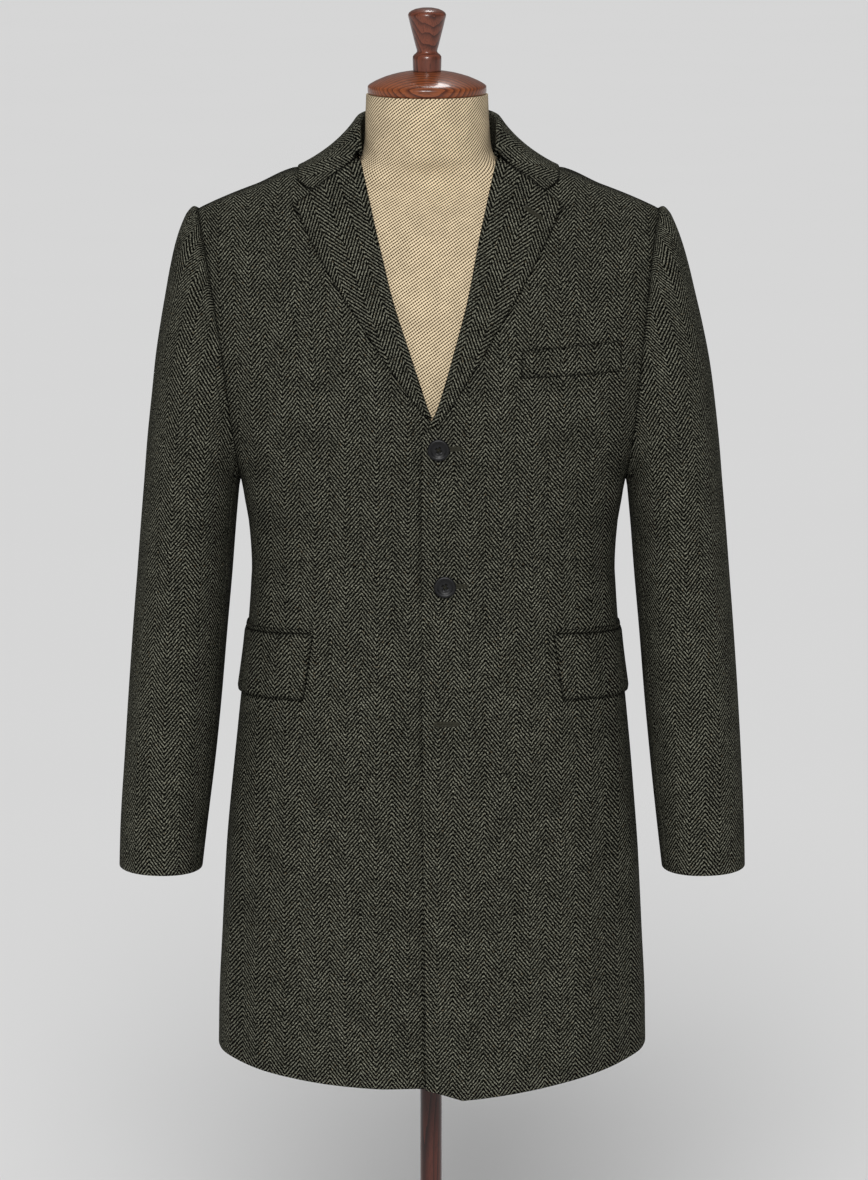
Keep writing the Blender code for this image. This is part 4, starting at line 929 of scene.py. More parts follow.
@dataclass(frozen=True)
class CoarseLinen:
    """Natural linen in a coarse weave: straw-coloured threads with dark gaps between them."""

    name: str = "coarse_natural_linen"
    thread: str = "#dfcba9"
    shade: str = "#3a2d1d"
    warp_mm: float = 3.3  # coarse as the photographed weave shows
    lean: float = 0.75

    def build(self) -> bpy.types.Material:
        """Build the material, on the form's own map of arc and height."""
        make = Finish(self.name)
        cut = make.uv()
        weft, warp = make.split(make.wandering(cut, 5, 0.7, 2.0))
        rise = make.sine(make.math("MULTIPLY_ADD", weft, -self.lean, warp), self.warp_mm)
        cross = make.sine(make.math("MULTIPLY_ADD", warp, 0.55, weft), self.warp_mm / 1.2)
        nub = make.math("MULTIPLY_ADD", cross, 0.55, rise)
        nub = make.math("MULTIPLY_ADD", make.math("SUBTRACT", make.noise(cut, 1.0, 2.0), 0.5), 1.6,
                        nub)
        share = make.ramp(nub, -1.05, 0.60)
        cloud = make.ramp(make.noise(cut, 18, 3.0), 0.3, 0.7, 0.90, 1.06)
        thread = make.scaled(linear(self.thread)[:3], cloud)
        make.drive(Base_Color=make.mix(share, linear(self.shade), thread))
        make.set(Roughness=0.9, Specular_IOR_Level=0.2)
        make.bump(share, 0.35, 0.6)
        return make.material


class Grain(Enum):
    """The way a turned piece's grain runs."""

    ACROSS = "across"
    UPRIGHT = "upright"


@dataclass(frozen=True)
class VarnishedWood:
    """Close-grained hardwood, turned, stained red-brown and varnished: a clear wet gloss."""

    name: str
    pale: str
    deep: str
    pore: str
    ring_mm: float
    grain: Grain
    centre: tuple[float, float, float]
    gloss: float = 0.12

    def build(self) -> bpy.types.Material:
        """Build the material: growth rings about a pith beside the piece, and fine pores."""
        make = Finish(self.name)
        spot = make.spot()
        upright = self.grain is Grain.UPRIGHT
        squeeze = (1, 1, 0.10) if upright else (0.13, 1, 1)
        tilt = (0.05, 0.09, 0.0) if upright else (0.10, -0.16, 0.22)
        moved = make.vector("SUBTRACT", {0: spot, 1: self.centre})
        laid = make.add("ShaderNodeMapping", {}, {"Vector": moved, "Rotation": tilt,
                                                  "Scale": squeeze}).outputs[0]
        reach = make.vector("LENGTH", {0: make.wandering(laid, 16, 5, 3.0)}, "Value")
        ring = make.math("FRACT", make.math("MULTIPLY", reach, 1 / (self.ring_mm * MM)))
        late = make.math("POWER", make.math("PINGPONG", ring, 1.0), 2.2)
        pores = make.ramp(make.noise(laid, 0.9, 2.0, 0.7), 0.48, 0.72)
        cloud = make.ramp(make.noise(laid, 22, 2.0), 0.3, 0.7)
        share = make.math("MULTIPLY_ADD", cloud, 0.35, make.math("MULTIPLY", late, 0.8))
        colour = make.mix(make.ramp(share, 0.0, 1.0), linear(self.pale), linear(self.deep))
        colour = make.mix(make.math("MULTIPLY", pores, 0.55), colour, linear(self.pore))
        make.drive(Base_Color=colour,
                   Roughness=make.ramp(make.noise(spot, 30, 2.0), 0.3, 0.7, 0.30, 0.42))
        make.set(Coat_Weight=0.5, Coat_Roughness=self.gloss, Coat_IOR=1.42, Specular_IOR_Level=0.25)
        make.bump(late, 0.05, 0.4)
        return make.material


@dataclass(frozen=True)
class PaintedFloor:
    """Matt studio paint in a pale neutral grey, with a trace of roller texture."""

    name: str = "matt_studio_paint"
    colour: str = "#e1e1e1"

    def build(self) -> bpy.types.Material:
        """Build the material, on Object coordinates."""
        make = Finish(self.name)
        patch = make.ramp(make.noise(make.spot(), 900, 2.0), 0.3, 0.7, 0.995, 1.0)
        make.drive(Base_Color=make.scaled(linear(self.colour)[:3], patch))
        make.set(Roughness=0.9, Specular_IOR_Level=0.1)
        return make.material


@dataclass
class BodyPanels:
    """The two fronts and the two backs, on the coat's surface."""

    cloth: bpy.types.Material
    front_columns: int = 60
    back_columns: int = 48
    low_rows: int = 56
    high_rows: int = 60
    surface: type[CoatSurface] = CoatSurface
    under_shift_mm: float = 10.8  # the under front's pattern isn't matched to the other's
    lapped_shade: float = 0.006  # width of the painted shadow on the under front beside the lapping edge
    # The flat cut of each piece: width and length of the rectangle it is cut from, and its area
    front_cut: tuple[float, float] = (0.370, 0.945)
    front_area: float = 0.258
    back_cut: tuple[float, float] = (0.305, 0.925)
    back_area: float = 0.222

    def high_row(self, start: tuple[float, float], end: tuple[float, float], share: float,
                 columns: int, back: bool) -> tuple:
        """Lay a row from an inner edge to the armhole, following the shoulder near the top.

        Args:
            start, end: The row's ends, seen from the front.
            share: The row's place up the armhole.
            columns: Steps along the row.
            back: Whether the row lies on the back.

        Returns:
            The row's x, y and z, its angles and whether it is on the back.
        """
        (x0, z0), (x1, z1) = start, end
        a0, a1 = self.surface.angle_at(x0, z0), self.surface.angle_at(x1, z1)
        s = power(np.sin(np.linspace(a0, a1, columns + 1)), 2 / PLAN_POWER)
        w = (s - s[0]) / (s[-1] - s[0])
        x, z = x0 + (x1 - x0) * w, z0 + (z1 - z0) * w
        line = NECK_Z + (TIP_Z - NECK_Z) * (x - NECK_X) / (TIP_X - NECK_X)
        ridge = self.surface.ridge(x)
        z = z + (ridge - line) * share**4 * np.clip((x - NECK_X) / 0.02, 0, 1)
        z = np.minimum(z, ridge - 1e-6) if share < 1 else ridge
        y = np.abs(self.surface.y(x, z, back)) if share < 1 else 0 * x
        angle = self.surface.angle_at(x, np.minimum(z, PATTERN_TOP_Z))
        angle = math.pi - angle if back else angle
        return x, np.maximum(y, GAP / 2) * (1 if back else -1), z, angle, np.full(x.shape, back)

    def grid(self, rows: list[tuple], side: Side, back: bool) -> tuple:
        """Stack rows, and find their directions, creases and flat cut.

        Args:
            rows: Rows from the hem to the shoulder.
            side: The panel's side.
            back: Whether the panel is a back.

        Returns:
            Points, outward directions, the outward shift of the creases, and the cut.
        """
        x, y, z, angle, behind = (np.array([row[i] for row in rows]) for i in range(5))
        normals = self.surface.normal(x, y, z, behind)
        normals[-1] = unit(normals[-2] * np.array([1.0, 0.0, 1.0]))
        points = np.stack([x, y, z], axis=-1)
        cut = self.surface.cloth(angle, x, z, back)
        return points, normals, self.surface.relief(side, points, behind), cut

    def front_rows(self, edge: Edge) -> list[tuple]:
        """Lay the rows of a front from its hem up."""
        rows, columns = [], self.front_columns
        for share in np.arange(self.low_rows) / self.low_rows:
            angles, spread = None, np.zeros(columns + 1)
            for _ in range(3):
                if edge is Edge.OVER:
                    corner = TOP_CORNER * np.clip(1 - np.arange(columns + 1) / 4, 0, 1)
                    hem = TOP_HEM_Z + corner + TOP_HEM_RISE * spread**1.3
                else:
                    hem = HEM_Z + HEM_RISE * spread**2
                z = hem + (UNDERARM_Z - hem) * share
                first = self.surface.angle_at(FRONT_EDGE.at(edge.value, z[0]), z[0])
                last = self.surface.side_seam(z[-1]) - GAP / 2 / BODY.at("half", z[-1])
                angles = first + (last - first) * np.linspace(0, 1, columns + 1)
                spread = np.abs(np.sin(angles))
            x, y, z, back = self.surface.round(angles, z)
            rows.append((x, y, z, angles, back))
        for share in np.linspace(0, 1, self.high_rows + 1):
            z0, z1 = float(HIGH_ROWS.at("edge_z", share)), self.armhole_z(share)
            start = (float(FRONT_EDGE.at(edge.value, z0)), z0)
            rows.append(self.high_row(start, (float(ARMHOLE.at("x", z1)), z1), share, columns, False))
        return rows

    def back_rows(self, lap: float) -> list[tuple]:
        """Lay the rows of a back, whose vent runs lap under the other's."""
        rows, columns = [], self.back_columns
        for share in np.arange(self.low_rows) / self.low_rows:
            hem = HEM_Z + 0.010 + (HEM_RISE - 0.010) * np.linspace(0, 1, columns + 1)
            z = hem + (UNDERARM_Z - hem) * share
            edge_x = GAP / 2 - (lap if share < VENT_TOP_SHARE else 0.0)
            first = math.pi - self.surface.angle_at(edge_x, z[0])
            last = self.surface.side_seam(z[-1]) + GAP / 2 / BODY.at("half", z[-1])
            angles = first + (last - first) * np.linspace(0, 1, columns + 1)
            x, y, z, back = self.surface.round(angles, z)
            rows.append((x, y, z, angles, back))
        for share in np.linspace(0, 1, self.high_rows + 1):
            z1 = self.armhole_z(share)
            x0 = float(BACK_EDGE.at("x", share)) + GAP / 2 * (share < 1)
            start = (x0, float(BACK_EDGE.at("z", share)))
            rows.append(self.high_row(start, (float(ARMHOLE.at("x", z1)), z1), share, columns, True))
        return rows

    @staticmethod
    def armhole_z(share: float) -> float:
        """Height on the armhole seam, from its bottom at 0 to the tip at 1."""
        even = 0.5 * share + 0.25 * (1 - math.cos(math.pi * share))
        return UNDERARM_Z + (TIP_Z - UNDERARM_Z) * even

    def seams(self, points: np.ndarray, middle: bool) -> np.ndarray:
        """Turn the cloth in beside the side, armhole and shoulder seams, and the middle one."""
        moved = 0.5 * ditch(edge_distance(points, 1, True)) + ditch(edge_distance(points, 0, True))
        return moved + (ditch(edge_distance(points, 1, False)) if middle else 0.0)

    def front(self, side: Side) -> bpy.types.Object:
        """Build a front. The wearer's left one buttons over the other."""
        edge = Edge.OVER if side is Side.LEFT else Edge.UNDER
        points, normals, relief, cut = self.grid(self.front_rows(edge), side, False)
        out = relief + self.seams(points, False)
        lapped = None
        if edge is Edge.UNDER:
            out = out - under_dip(points)
            cut[..., 0] += self.under_shift_mm * MM
            # Painted shadow: the under front darkens in a band beside the other front's lapping edge,
            # below the break
            beyond = points[..., 0] + FRONT_EDGE.at("over", points[..., 2]) + 0.001
            lapped = np.clip(1 - np.maximum(beyond, 0) / self.lapped_shade, 0, 1)
            lapped = np.where(points[..., 2] < FRONT_BREAK_Z, lapped, 0.0)
        name = f"front_{side.name.lower()}"
        piece = wall(name, side, points, normals, out, out - BODY_WALL, cut, self.cloth,
                     seams=((0, True), (1, True)), shade=lapped)
        return piece

    def back(self, side: Side) -> bpy.types.Object:
        """Build a back. The wearer's left one laps over the other at the vent."""
        lap = 0.0 if side is Side.LEFT else VENT_LAP
        points, normals, relief, cut = self.grid(self.back_rows(lap), side, True)
        out = relief + self.seams(points, side is Side.LEFT)
        if lap:
            share = (np.arange(len(points)) / self.low_rows)[:, None]
            near = smooth((VENT_NEAR - points[..., 0]) / VENT_RUN)
            out = out - VENT_DIP * near * smooth((VENT_TOP_SHARE + VENT_FADE - share) / VENT_FADE)
        name = f"back_{side.name.lower()}"
        piece = wall(name, side, points, normals, out, out - BODY_WALL, cut, self.cloth,
                     seams=((0, True), (1, True), (1, False)))
        return piece

    def build(self) -> list[bpy.types.Object]:
        """Build all four panels."""
        return [make(side) for make in (self.front, self.back) for side in Side]


@dataclass
class Sleeves:
    """A top sleeve and an under sleeve on each side."""

    cloth: bpy.types.Material
    rows: int = 96
    top_columns: int = 44
    under_columns: int = 22
    top_cut: tuple[float, float] = (0.335, 0.690)
    top_area: float = 0.156
    pattern_shift: dict[Side, float] = field(
        default_factory=lambda: {Side.LEFT: 0.0005, Side.RIGHT: 0.0115})
    under_cut: tuple[float, float] = (0.118, 0.475)
    under_area: float = 0.045
    spread: float = 0.75  # how evenly the rows follow the rings, which lie closer at the top
    crease_from: float = 1.0  # the creases start at this ring
    crease_run: float = 2.5  # and are whole this many rings below it
    mean_radius: float = 0.065

    @staticmethod
    def armhole_point(angle: np.ndarray) -> np.ndarray:
        """Find the armhole seam's point by the angle round the sleeve's first ring."""
        z = (TIP_Z + UNDERARM_Z) / 2 + (TIP_Z - UNDERARM_Z) / 2 * np.cos(angle)
        x = ARMHOLE.at("x", z)
        return np.stack([x, CoatSurface.y(x, z, np.sin(angle) < 0), z], axis=-1)

    @staticmethod
    def flat_ring(ring: np.ndarray, angle: np.ndarray) -> np.ndarray:
        """Find a point of a sleeve section that lies in one plane."""
        out = np.stack([SLEEVE.at(n, ring) for n in ("out_x", "y", "out_z")], -1)
        inn = np.stack([SLEEVE.at(n, ring) for n in ("in_x", "y", "in_z")], -1)
        across = power(np.cos(angle), 2 / SLEEVE_POWER)[..., None]
        forward = power(np.sin(angle), 2 / SLEEVE_POWER)
        reach = np.where(forward > 0, SLEEVE.at("front", ring), SLEEVE.at("back", ring))
        point = (out + inn) / 2 + (out - inn) / 2 * across
        point[..., 1] -= reach * forward
        return point

    def point(self, ring: np.ndarray, angle: np.ndarray) -> np.ndarray:
        """Find a point of the sleeve. The first rings follow the armhole."""
        ring, angle = np.broadcast_arrays(np.asarray(ring, float), np.asarray(angle, float))
        fade = np.clip(1 - ring / CAP_BLEND, 0, 1) ** 2
        start = self.armhole_point(angle)
        start[..., 0] -= ARMHOLE_TUCK
        return self.flat_ring(ring, angle) + fade[..., None] * (
            start - self.flat_ring(0 * ring, angle))

    @staticmethod
    def flat_cut(points: np.ndarray, angle: np.ndarray, centre: int) -> np.ndarray:
        """Give each point its place in the flat cloth, whose warp runs down the arm.

        Args:
            points: The piece's grid, from the armhole to the cuff.
            angle: Each column's angle round the arm.
            centre: The column that the weft is measured from.

        Returns:
            The distance along the weft on a level line, and up the arm.
        """
        fall = np.maximum.accumulate(-points[..., 2], axis=0)
        fall = fall + 1e-9 * np.arange(len(points))[:, None]
        lines = np.array([
            [np.interp(fall, fall[:, column], points[:, column, axis]) for axis in range(2)]
            for column in range(points.shape[1])])
        steps = np.linalg.norm(np.diff(lines, axis=0), axis=1)
        run = np.concatenate([np.zeros((1, *fall.shape)), np.cumsum(steps, axis=0)])
        own = np.stack([run[column, :, column] for column in range(points.shape[1])], axis=1)
        moved = np.diff(points, axis=0)
        outward = np.hypot(moved[..., 0], moved[..., 1]) * np.abs(np.cos(angle))
        up = np.cumsum(np.hypot(moved[..., 2], outward)[::-1], axis=0)[::-1]
        up = np.concatenate([up, np.zeros((1, points.shape[1]))])
        return np.stack([own - run[centre], up + CUFF_PATTERN_SHIFT], axis=-1)

    def piece(self, name: str, side: Side, first: float, last: float, columns: int,
              cut_size: tuple[float, float], area: float) -> bpy.types.Object:
        """Build one piece of a sleeve between two seams.

        Args:
            name: The node's name without its side.
            side: The side.
            first, last: The seams' angles.
            columns: Steps between them.
            cut_size: Width and length of the piece's flat rectangle; not used.
            area: The flat area; not used.

        Returns:
            The piece.
        """
        share = np.linspace(0, 1, self.rows + 1)
        ring = (CUFF_RING * ((1 - self.spread) * share**2 + self.spread * share))[:, None]
        angle = np.linspace(first, last, columns + 1)[None, :]
        points = self.point(ring, angle)
        step = 0.05
        down = self.point(np.minimum(ring + step, CUFF_RING), angle) - self.point(
            np.maximum(ring - step, 0), angle)
        round_ = self.point(ring, angle + 0.01) - self.point(ring, angle - 0.01)
        normals = unit(np.cross(down, round_))
        middle = points.mean(axis=1, keepdims=True)
        flip = np.sign(((points - middle) * normals).sum(axis=(1, 2), keepdims=True))
        normals = normals * np.where(flip == 0, 1, flip)
        out = creases(SLEEVE_CREASES, side, angle + 0 * ring, points[..., 2], SLEEVE_ARC)
        out = out * smooth((ring - self.crease_from) / self.crease_run)
        back_seam_last = first > 0
        out = out + ditch(edge_distance(points, 1, back_seam_last))
        cut = self.flat_cut(points, angle, columns // 2 if first > 0 else int(np.argmin(abs(angle[0]))))
        cut[..., 0] += self.pattern_shift[side]
        full = f"{name}_{side.name.lower()}"
        piece = wall(full, side, points, normals, out, out - SLEEVE_WALL, cut, self.cloth,
                     seams=((0, False), (1, back_seam_last)))
        return piece

    def build(self) -> list[bpy.types.Object]:
        """Build both pieces of both sleeves."""
        seam = GAP / self.mean_radius
        under_last = BACK_SLEEVE_SEAM + 2 * math.pi - seam
        made = []
        for side in Side:
            made.append(self.piece("top_sleeve", side, BACK_SLEEVE_SEAM + seam,
                                   FRONT_SLEEVE_SEAM - seam, self.top_columns, self.top_cut,
                                   self.top_area))
            made.append(self.piece("under_sleeve", side, FRONT_SLEEVE_SEAM + seam, under_last,
                                   self.under_columns, self.under_cut, self.under_area))
        return made


@dataclass
class Lapels:
    """The turned-back lapels. Each wraps its front's edge at the roll line."""

    cloth: bpy.types.Material
    columns: int = 22
    roll_steps: int = 12
    splits: int = 3
    grain_tilt: float = math.radians(20)
    cut_size: tuple[float, float] = (0.110, 0.280)
    area: float = 0.0152

    def section(self, width: float) -> list[np.ndarray]:
        """Outline the outer and inner sheet: along from the roll line, and up from the front."""
        middle = -BODY_WALL / 2
        sheets = []
        for wall_out in (LAPEL_WALL, 0.0):
            radius = BODY_WALL / 2 + ROLL_GAP + wall_out
            path = [(ROLL_REACH + LAPEL_TAIL * (1 - k / 3), middle - radius - TAIL_DROP * (1 - k / 3))
                    for k in range(3)]
            for turn in np.radians(-90 - np.linspace(0, 180, self.roll_steps + 1)):
                path.append((ROLL_REACH + radius * math.cos(turn), middle + radius * math.sin(turn)))
            for share in np.linspace(0, 1, self.columns + 1)[1:]:
                swell = LAPEL_SWELL * math.sin(math.pi * share) + EDGE_LIFT * share**3
                path.append((ROLL_REACH + (width - ROLL_REACH) * share, middle + radius + swell))
            sheets.append(np.array(path))
        return sheets

    def piece(self, side: Side) -> bpy.types.Object:
        """Build one lapel."""
        edge = Edge.OVER if side is Side.LEFT else Edge.UNDER
        dip = edge is Edge.UNDER
        steps = np.interp(np.arange(0, len(LAPEL_STEPS) - 1 + 1e-9, 1 / self.splits),
                          np.arange(len(LAPEL_STEPS)), LAPEL_STEPS)
        sheets: tuple[list, list] = ([], [])
        cut = []
        for step in steps:
            fade = (1 - step) ** 8 if dip else 0.0
            roll = np.array([LAPEL.at(f"{edge.value}_roll_x", step),
                             LAPEL.at("roll_z", step) + UNDER_ROLL_RISE * fade])
            tip = np.array([LAPEL.at("edge_x", step),
                            LAPEL.at("edge_z", step) + UNDER_EDGE_RISE * fade])
            root, _ = CoatSurface.on_front(*roll, 0.0, side, dip)
            end, _ = CoatSurface.on_front(*tip, 0.0, side, dip)
            width = float(np.linalg.norm(end - root))
            across = (tip - roll) / width
            rim, normal = CoatSurface.on_front(*(roll + across * ROLL_REACH), 0.0, side, dip)
            along = unit(rim - root - ((rim - root) @ normal) * normal)
            for sheet, path in zip(sheets, self.section(width)):
                reach, lift = path[:, 0], path[:, 1]
                row = rim + along * (reach - ROLL_REACH)[:, None] + normal * lift[:, None]
                seen = roll + across * reach[:, None]
                out, _ = CoatSurface.on_front(seen[:, 0], seen[:, 1], lift, side, dip)
                sheet.append(np.where((reach > ROLL_REACH)[:, None] & (np.arange(
                    len(reach)) > self.roll_steps)[:, None], out, row))
            reach = self.section(width)[0][:, 0]
            folded = np.where(np.arange(len(reach)) < 3 + self.roll_steps // 2, -1, 1)
            cut.append(roll + across * (reach * folded)[:, None])
        cos, sin = math.cos(self.grain_tilt), math.sin(self.grain_tilt)
        flat = np.array(cut) - np.array([0.004, 1.20])
        turned = np.stack([flat[..., 0] * cos - flat[..., 1] * sin,
                           flat[..., 0] * sin + flat[..., 1] * cos], axis=-1)
        name = f"lapel_{side.name.lower()}"
        shell = ClothShell(name, place(np.array(sheets[0]), side), place(np.array(sheets[1]), side),
                           turned, 0.0006, ((0, True), (1, True)))
        piece = show(shell.build(self.cloth), "tweed", name)
        return piece

    def build(self) -> list[bpy.types.Object]:
        """Build both lapels."""
        return [self.piece(side) for side in Side]


@dataclass
class Collar:
    """Stand and leaf in one folded band, from notch to notch round the back of the neck."""

    cloth: bpy.types.Material
    half_steps: int = 52
    leaf_points: int = 18
    cut_size: tuple[float, float] = (0.430, 0.105)
    area: float = 0.036
    front_ease: float = 0.20  # the pattern spreads where the collar turns to its front ends
    ease_end: float = 0.42  # and this far round the neck it is even
    ease_run: float = 0.36
    bunching: float = 1.15  # the stations lie closer at the front ends
    first_peak: float = 0.0076

    @staticmethod
    def bezier(points: tuple[np.ndarray, ...], t: float) -> np.ndarray:
        """Find a point on the curve with three control points."""
        a, b, c = points
        return (1 - t) ** 2 * a + 2 * t * (1 - t) * b + t * t * c

    def path(self, step: float) -> np.ndarray:
        """Draw the middle line at a station: up the stand, over the fold, down the leaf."""
        fold, mid, foot = (
            np.array([float(COLLAR.at(f"{name}_{axis}", step)) for axis in "xyz"])
            for name in ("fold", "mid", "foot"))
        edge_x, edge_y = float(COLLAR.at("edge_x", step)), float(COLLAR.at("edge_y", step))
        edge = np.array([edge_x, edge_y, float(CoatSurface.height(edge_x, edge_y)) + LEAF_LIFT])
        out = unit((mid - fold) * np.array([1, 1, 0]))
        rise = np.array([0.0, 0.0, 1.0])
        inner = fold - out * FOLD_IN - rise * FOLD_IN_DROP
        outer = fold + out * FOLD_OUT - rise * FOLD_OUT_DROP
        crest = [fold + out * reach - rise * drop for reach, drop in FOLD_CREST]
        stand = [foot + (inner - foot) * t for t in np.linspace(0, 1, 7)]
        round_ = []
        for k in range(3):
            a, b, c, d = [stand[-2], inner, crest[0], crest[1], outer,
                          self.bezier((outer, mid, edge), 0.12)][k:k + 4]
            for t in (1 / 3, 2 / 3, 1.0):
                round_.append(0.5 * (2 * b + (c - a) * t + (2 * a - 5 * b + 4 * c - d) * t * t
                                     + (3 * b - a - 3 * c + d) * t**3))
        leaf = [self.bezier((outer, mid, edge), k / self.leaf_points)
                for k in range(1, self.leaf_points + 1)]
        path = np.array([*stand, *round_, *leaf])
        x, y, near = path[-self.leaf_points:, 0], path[-self.leaf_points:, 1], 0.001
        height = CoatSurface.height
        slope_x = (height(x + near, y) - height(x - near, y)) / (2 * near)
        slope_y = (height(x, y + near) - height(x, y - near)) / (2 * near)
        clear = LEAF_LIFT * np.sqrt(1 + slope_x**2 + slope_y**2)
        low = height(x, y) + clear
        path[-self.leaf_points:, 2] = np.maximum(path[-self.leaf_points:, 2], low)
        return path

    def build(self) -> list[bpy.types.Object]:
        """Build the collar."""
        steps = np.linspace(0, 1, self.half_steps + 1) ** self.bunching
        half = np.array([self.path(step) for step in steps])
        leaf = self.leaf_points
        share = np.linspace(0, 1, leaf + 1)[1:]
        gorge, _ = CoatSurface.on_front(np.interp(share, GORGE[0], GORGE[1]),
                                        np.interp(share, GORGE[0], GORGE[2]), LEAF_LIFT)
        shift = gorge - half[0, -leaf:]
        for row, step in zip(half, steps):
            row[-leaf:] += shift * max(0.0, 1 - step / GORGE_FADE)
        other = half[-2::-1].copy()
        other[..., 0] *= -1
        path = np.concatenate([half, other])
        down, along = np.gradient(path, axis=1), np.gradient(path, axis=0)
        normals = unit(np.cross(down, along))
        middle = len(half) - 1
        if normals[middle, 8] @ (path[middle, 8] - path[middle, 0]) < 0:
            normals = -normals
        both = np.concatenate([steps, steps[-2::-1]])
        eased = 1 - self.front_ease * smooth((self.ease_end - both) / self.ease_run)
        # The pattern is square to the fold: each step down the leaf is split along and across it
        moved, tangent = np.diff(path, axis=1), unit(along)
        beside = (moved * (tangent[:, 1:] + tangent[:, :-1]) / 2).sum(axis=-1)
        fall = np.sqrt(np.maximum((moved**2).sum(axis=-1) - beside**2, 0))
        beside, fall = (np.concatenate([0 * run[:, :1], np.cumsum(run, axis=1)], axis=1)
                        for run in (beside, fall))
        pace = np.diff(edge_distance(path[:, [FOLD_COLUMN]], 0, False)[:, 0])
        pace = pace * (eased[1:] + eased[:-1]) / 2
        round_neck = np.concatenate([[0], np.cumsum(pace)])
        round_neck = (round_neck - round_neck[middle])[:, None] + beside - beside[:, [FOLD_COLUMN]]
        cut = np.stack([round_neck + self.first_peak, fall[:, [FOLD_COLUMN]] - fall], axis=-1)
        piece = wall("collar", Side.LEFT, path, normals, COLLAR_WALL / 2, -COLLAR_WALL / 2, cut,
                     self.cloth, 0.0007, ((0, False), (0, True), (1, True)))
        return [piece]


@dataclass
class Pockets:
    """The breast welt, and a jetting strip and flap at each hip."""

    cloth: bpy.types.Material
    columns: int = 40
    rows: int = 16
    press: float = 0.0011  # how far a pocket's edges are pressed down
    press_width: float = 0.0022

    def pressed(self, grid: np.ndarray, sides: Iterable[tuple[int, bool]]) -> np.ndarray:
        """Find how far a piece's edges are pressed thin."""
        away = np.min([edge_distance(grid, axis, last) for axis, last in sides], axis=0)
        return self.press * np.exp(-((away / self.press_width) ** 2))

    def welt(self) -> bpy.types.Object:
        """Build the breast pocket's welt, on the wearer's left."""
        corners = np.array(WELT_CORNERS)
        u, v = np.meshgrid(np.linspace(0, 1, self.columns + 1), np.linspace(0, 1, self.rows + 1))
        start = corners[0] + (corners[3] - corners[0]) * v[..., None]
        end = corners[1] + (corners[2] - corners[1]) * v[..., None]
        seen = start + (end - start) * u[..., None]
        x, z = seen[..., 0], seen[..., 1]
        inner, _ = CoatSurface.on_front(x, z, LAY_GAP)
        lift = LAY_GAP + 0.0022 - self.pressed(inner, ((0, True), (1, False), (1, True)))
        outer, _ = CoatSurface.on_front(x, z, lift)
        angle = CoatSurface.angle_at(x, np.minimum(z, PATTERN_TOP_Z))
        cut = CoatSurface.cloth(angle, x, z, False)
        cut[..., 1] += 0.0006
        shell = ClothShell("breast_welt", place(outer), place(inner), cut, 0.0005, ALL_EDGES)
        piece = show(shell.build(self.cloth), "tweed", "breast_welt")
        return piece

    def band(self, top: tuple[float, float], low: tuple[float, float], rows: int) -> tuple:
        """Lay a grid over the hip between two heights, each given at the front and the side.

        Args:
            top, low: Heights of the band's edges, at the front and at the side.
            rows: Steps between them.

        Returns:
            Angles, points and outward directions.
        """
        share = np.linspace(0, 1, self.columns + 1)
        v = np.linspace(0, 1, rows + 1)[:, None]
        start = FLAP_FRONT + FLAP_SLANT * v
        angle = start + (FLAP_END - start) * share
        beside = (angle - FLAP_FRONT) / (math.pi / 2 - FLAP_FRONT)
        high, bottom = top[0] + (top[1] - top[0]) * beside, low[0] + (low[1] - low[0]) * beside
        x, y, z, back = CoatSurface.round(angle, high + (bottom - high) * v)
        return angle, np.stack([x, y, z], -1), CoatSurface.normal(x, y, z, back), back

    def hip(self, side: Side) -> list[bpy.types.Object]:
        """Build the strip and the flap of one hip pocket."""
        hand = side.name.lower()
        jet_low = (FLAP_TOP[0] + GAP, FLAP_TOP[1] + GAP)
        jet_top = (jet_low[0] + JET_HIGH[0], jet_low[1] + JET_HIGH[1])
        made = []
        for name, top, low, thick, rows, flat in (
            ("flap", FLAP_TOP, FLAP_LOW, POCKET_WALL, self.rows, (0.163, 0.066)),
            ("jet", jet_top, jet_low, JET_WALL, 5, (0.163, 0.0102)),
        ):
            angle, points, normals, back = self.band(top, low, rows)
            relief = CoatSurface.relief(side, points, back)
            if name == "flap":
                relief = relief + FLAP_LIFT * (np.linspace(0, 1, rows + 1) ** 2)[:, None]
            inner = offset(points, normals, relief + LAY_GAP)
            if name == "flap":
                thin = self.pressed(inner, ((0, True), (1, False), (1, True)))
                thin = thin + 0.8 * self.pressed(inner, ((0, False),))
            else:
                strip = (np.linspace(-1, 1, rows + 1) ** 2)[:, None]
                thin = 0.0006 * strip + 0 * angle
            cut = CoatSurface.cloth(angle, points[..., 0], points[..., 2], False)
            cut[..., 0] += 0.0024
            if name == "jet":
                cut = cut[..., ::-1] + np.array([0.004, 0.0])
            piece = wall(f"{name}_{hand}", side, points, normals, relief + LAY_GAP + thick - thin,
                         relief + LAY_GAP, cut, self.cloth, 0.0005 if name == "flap" else 0.0003,
                         ALL_EDGES)
            made.append(piece)
        return made

    def build(self) -> list[bpy.types.Object]:
        """Build the welt and both hip pockets."""
        return [self.welt(), *self.hip(Side.LEFT), *self.hip(Side.RIGHT)]


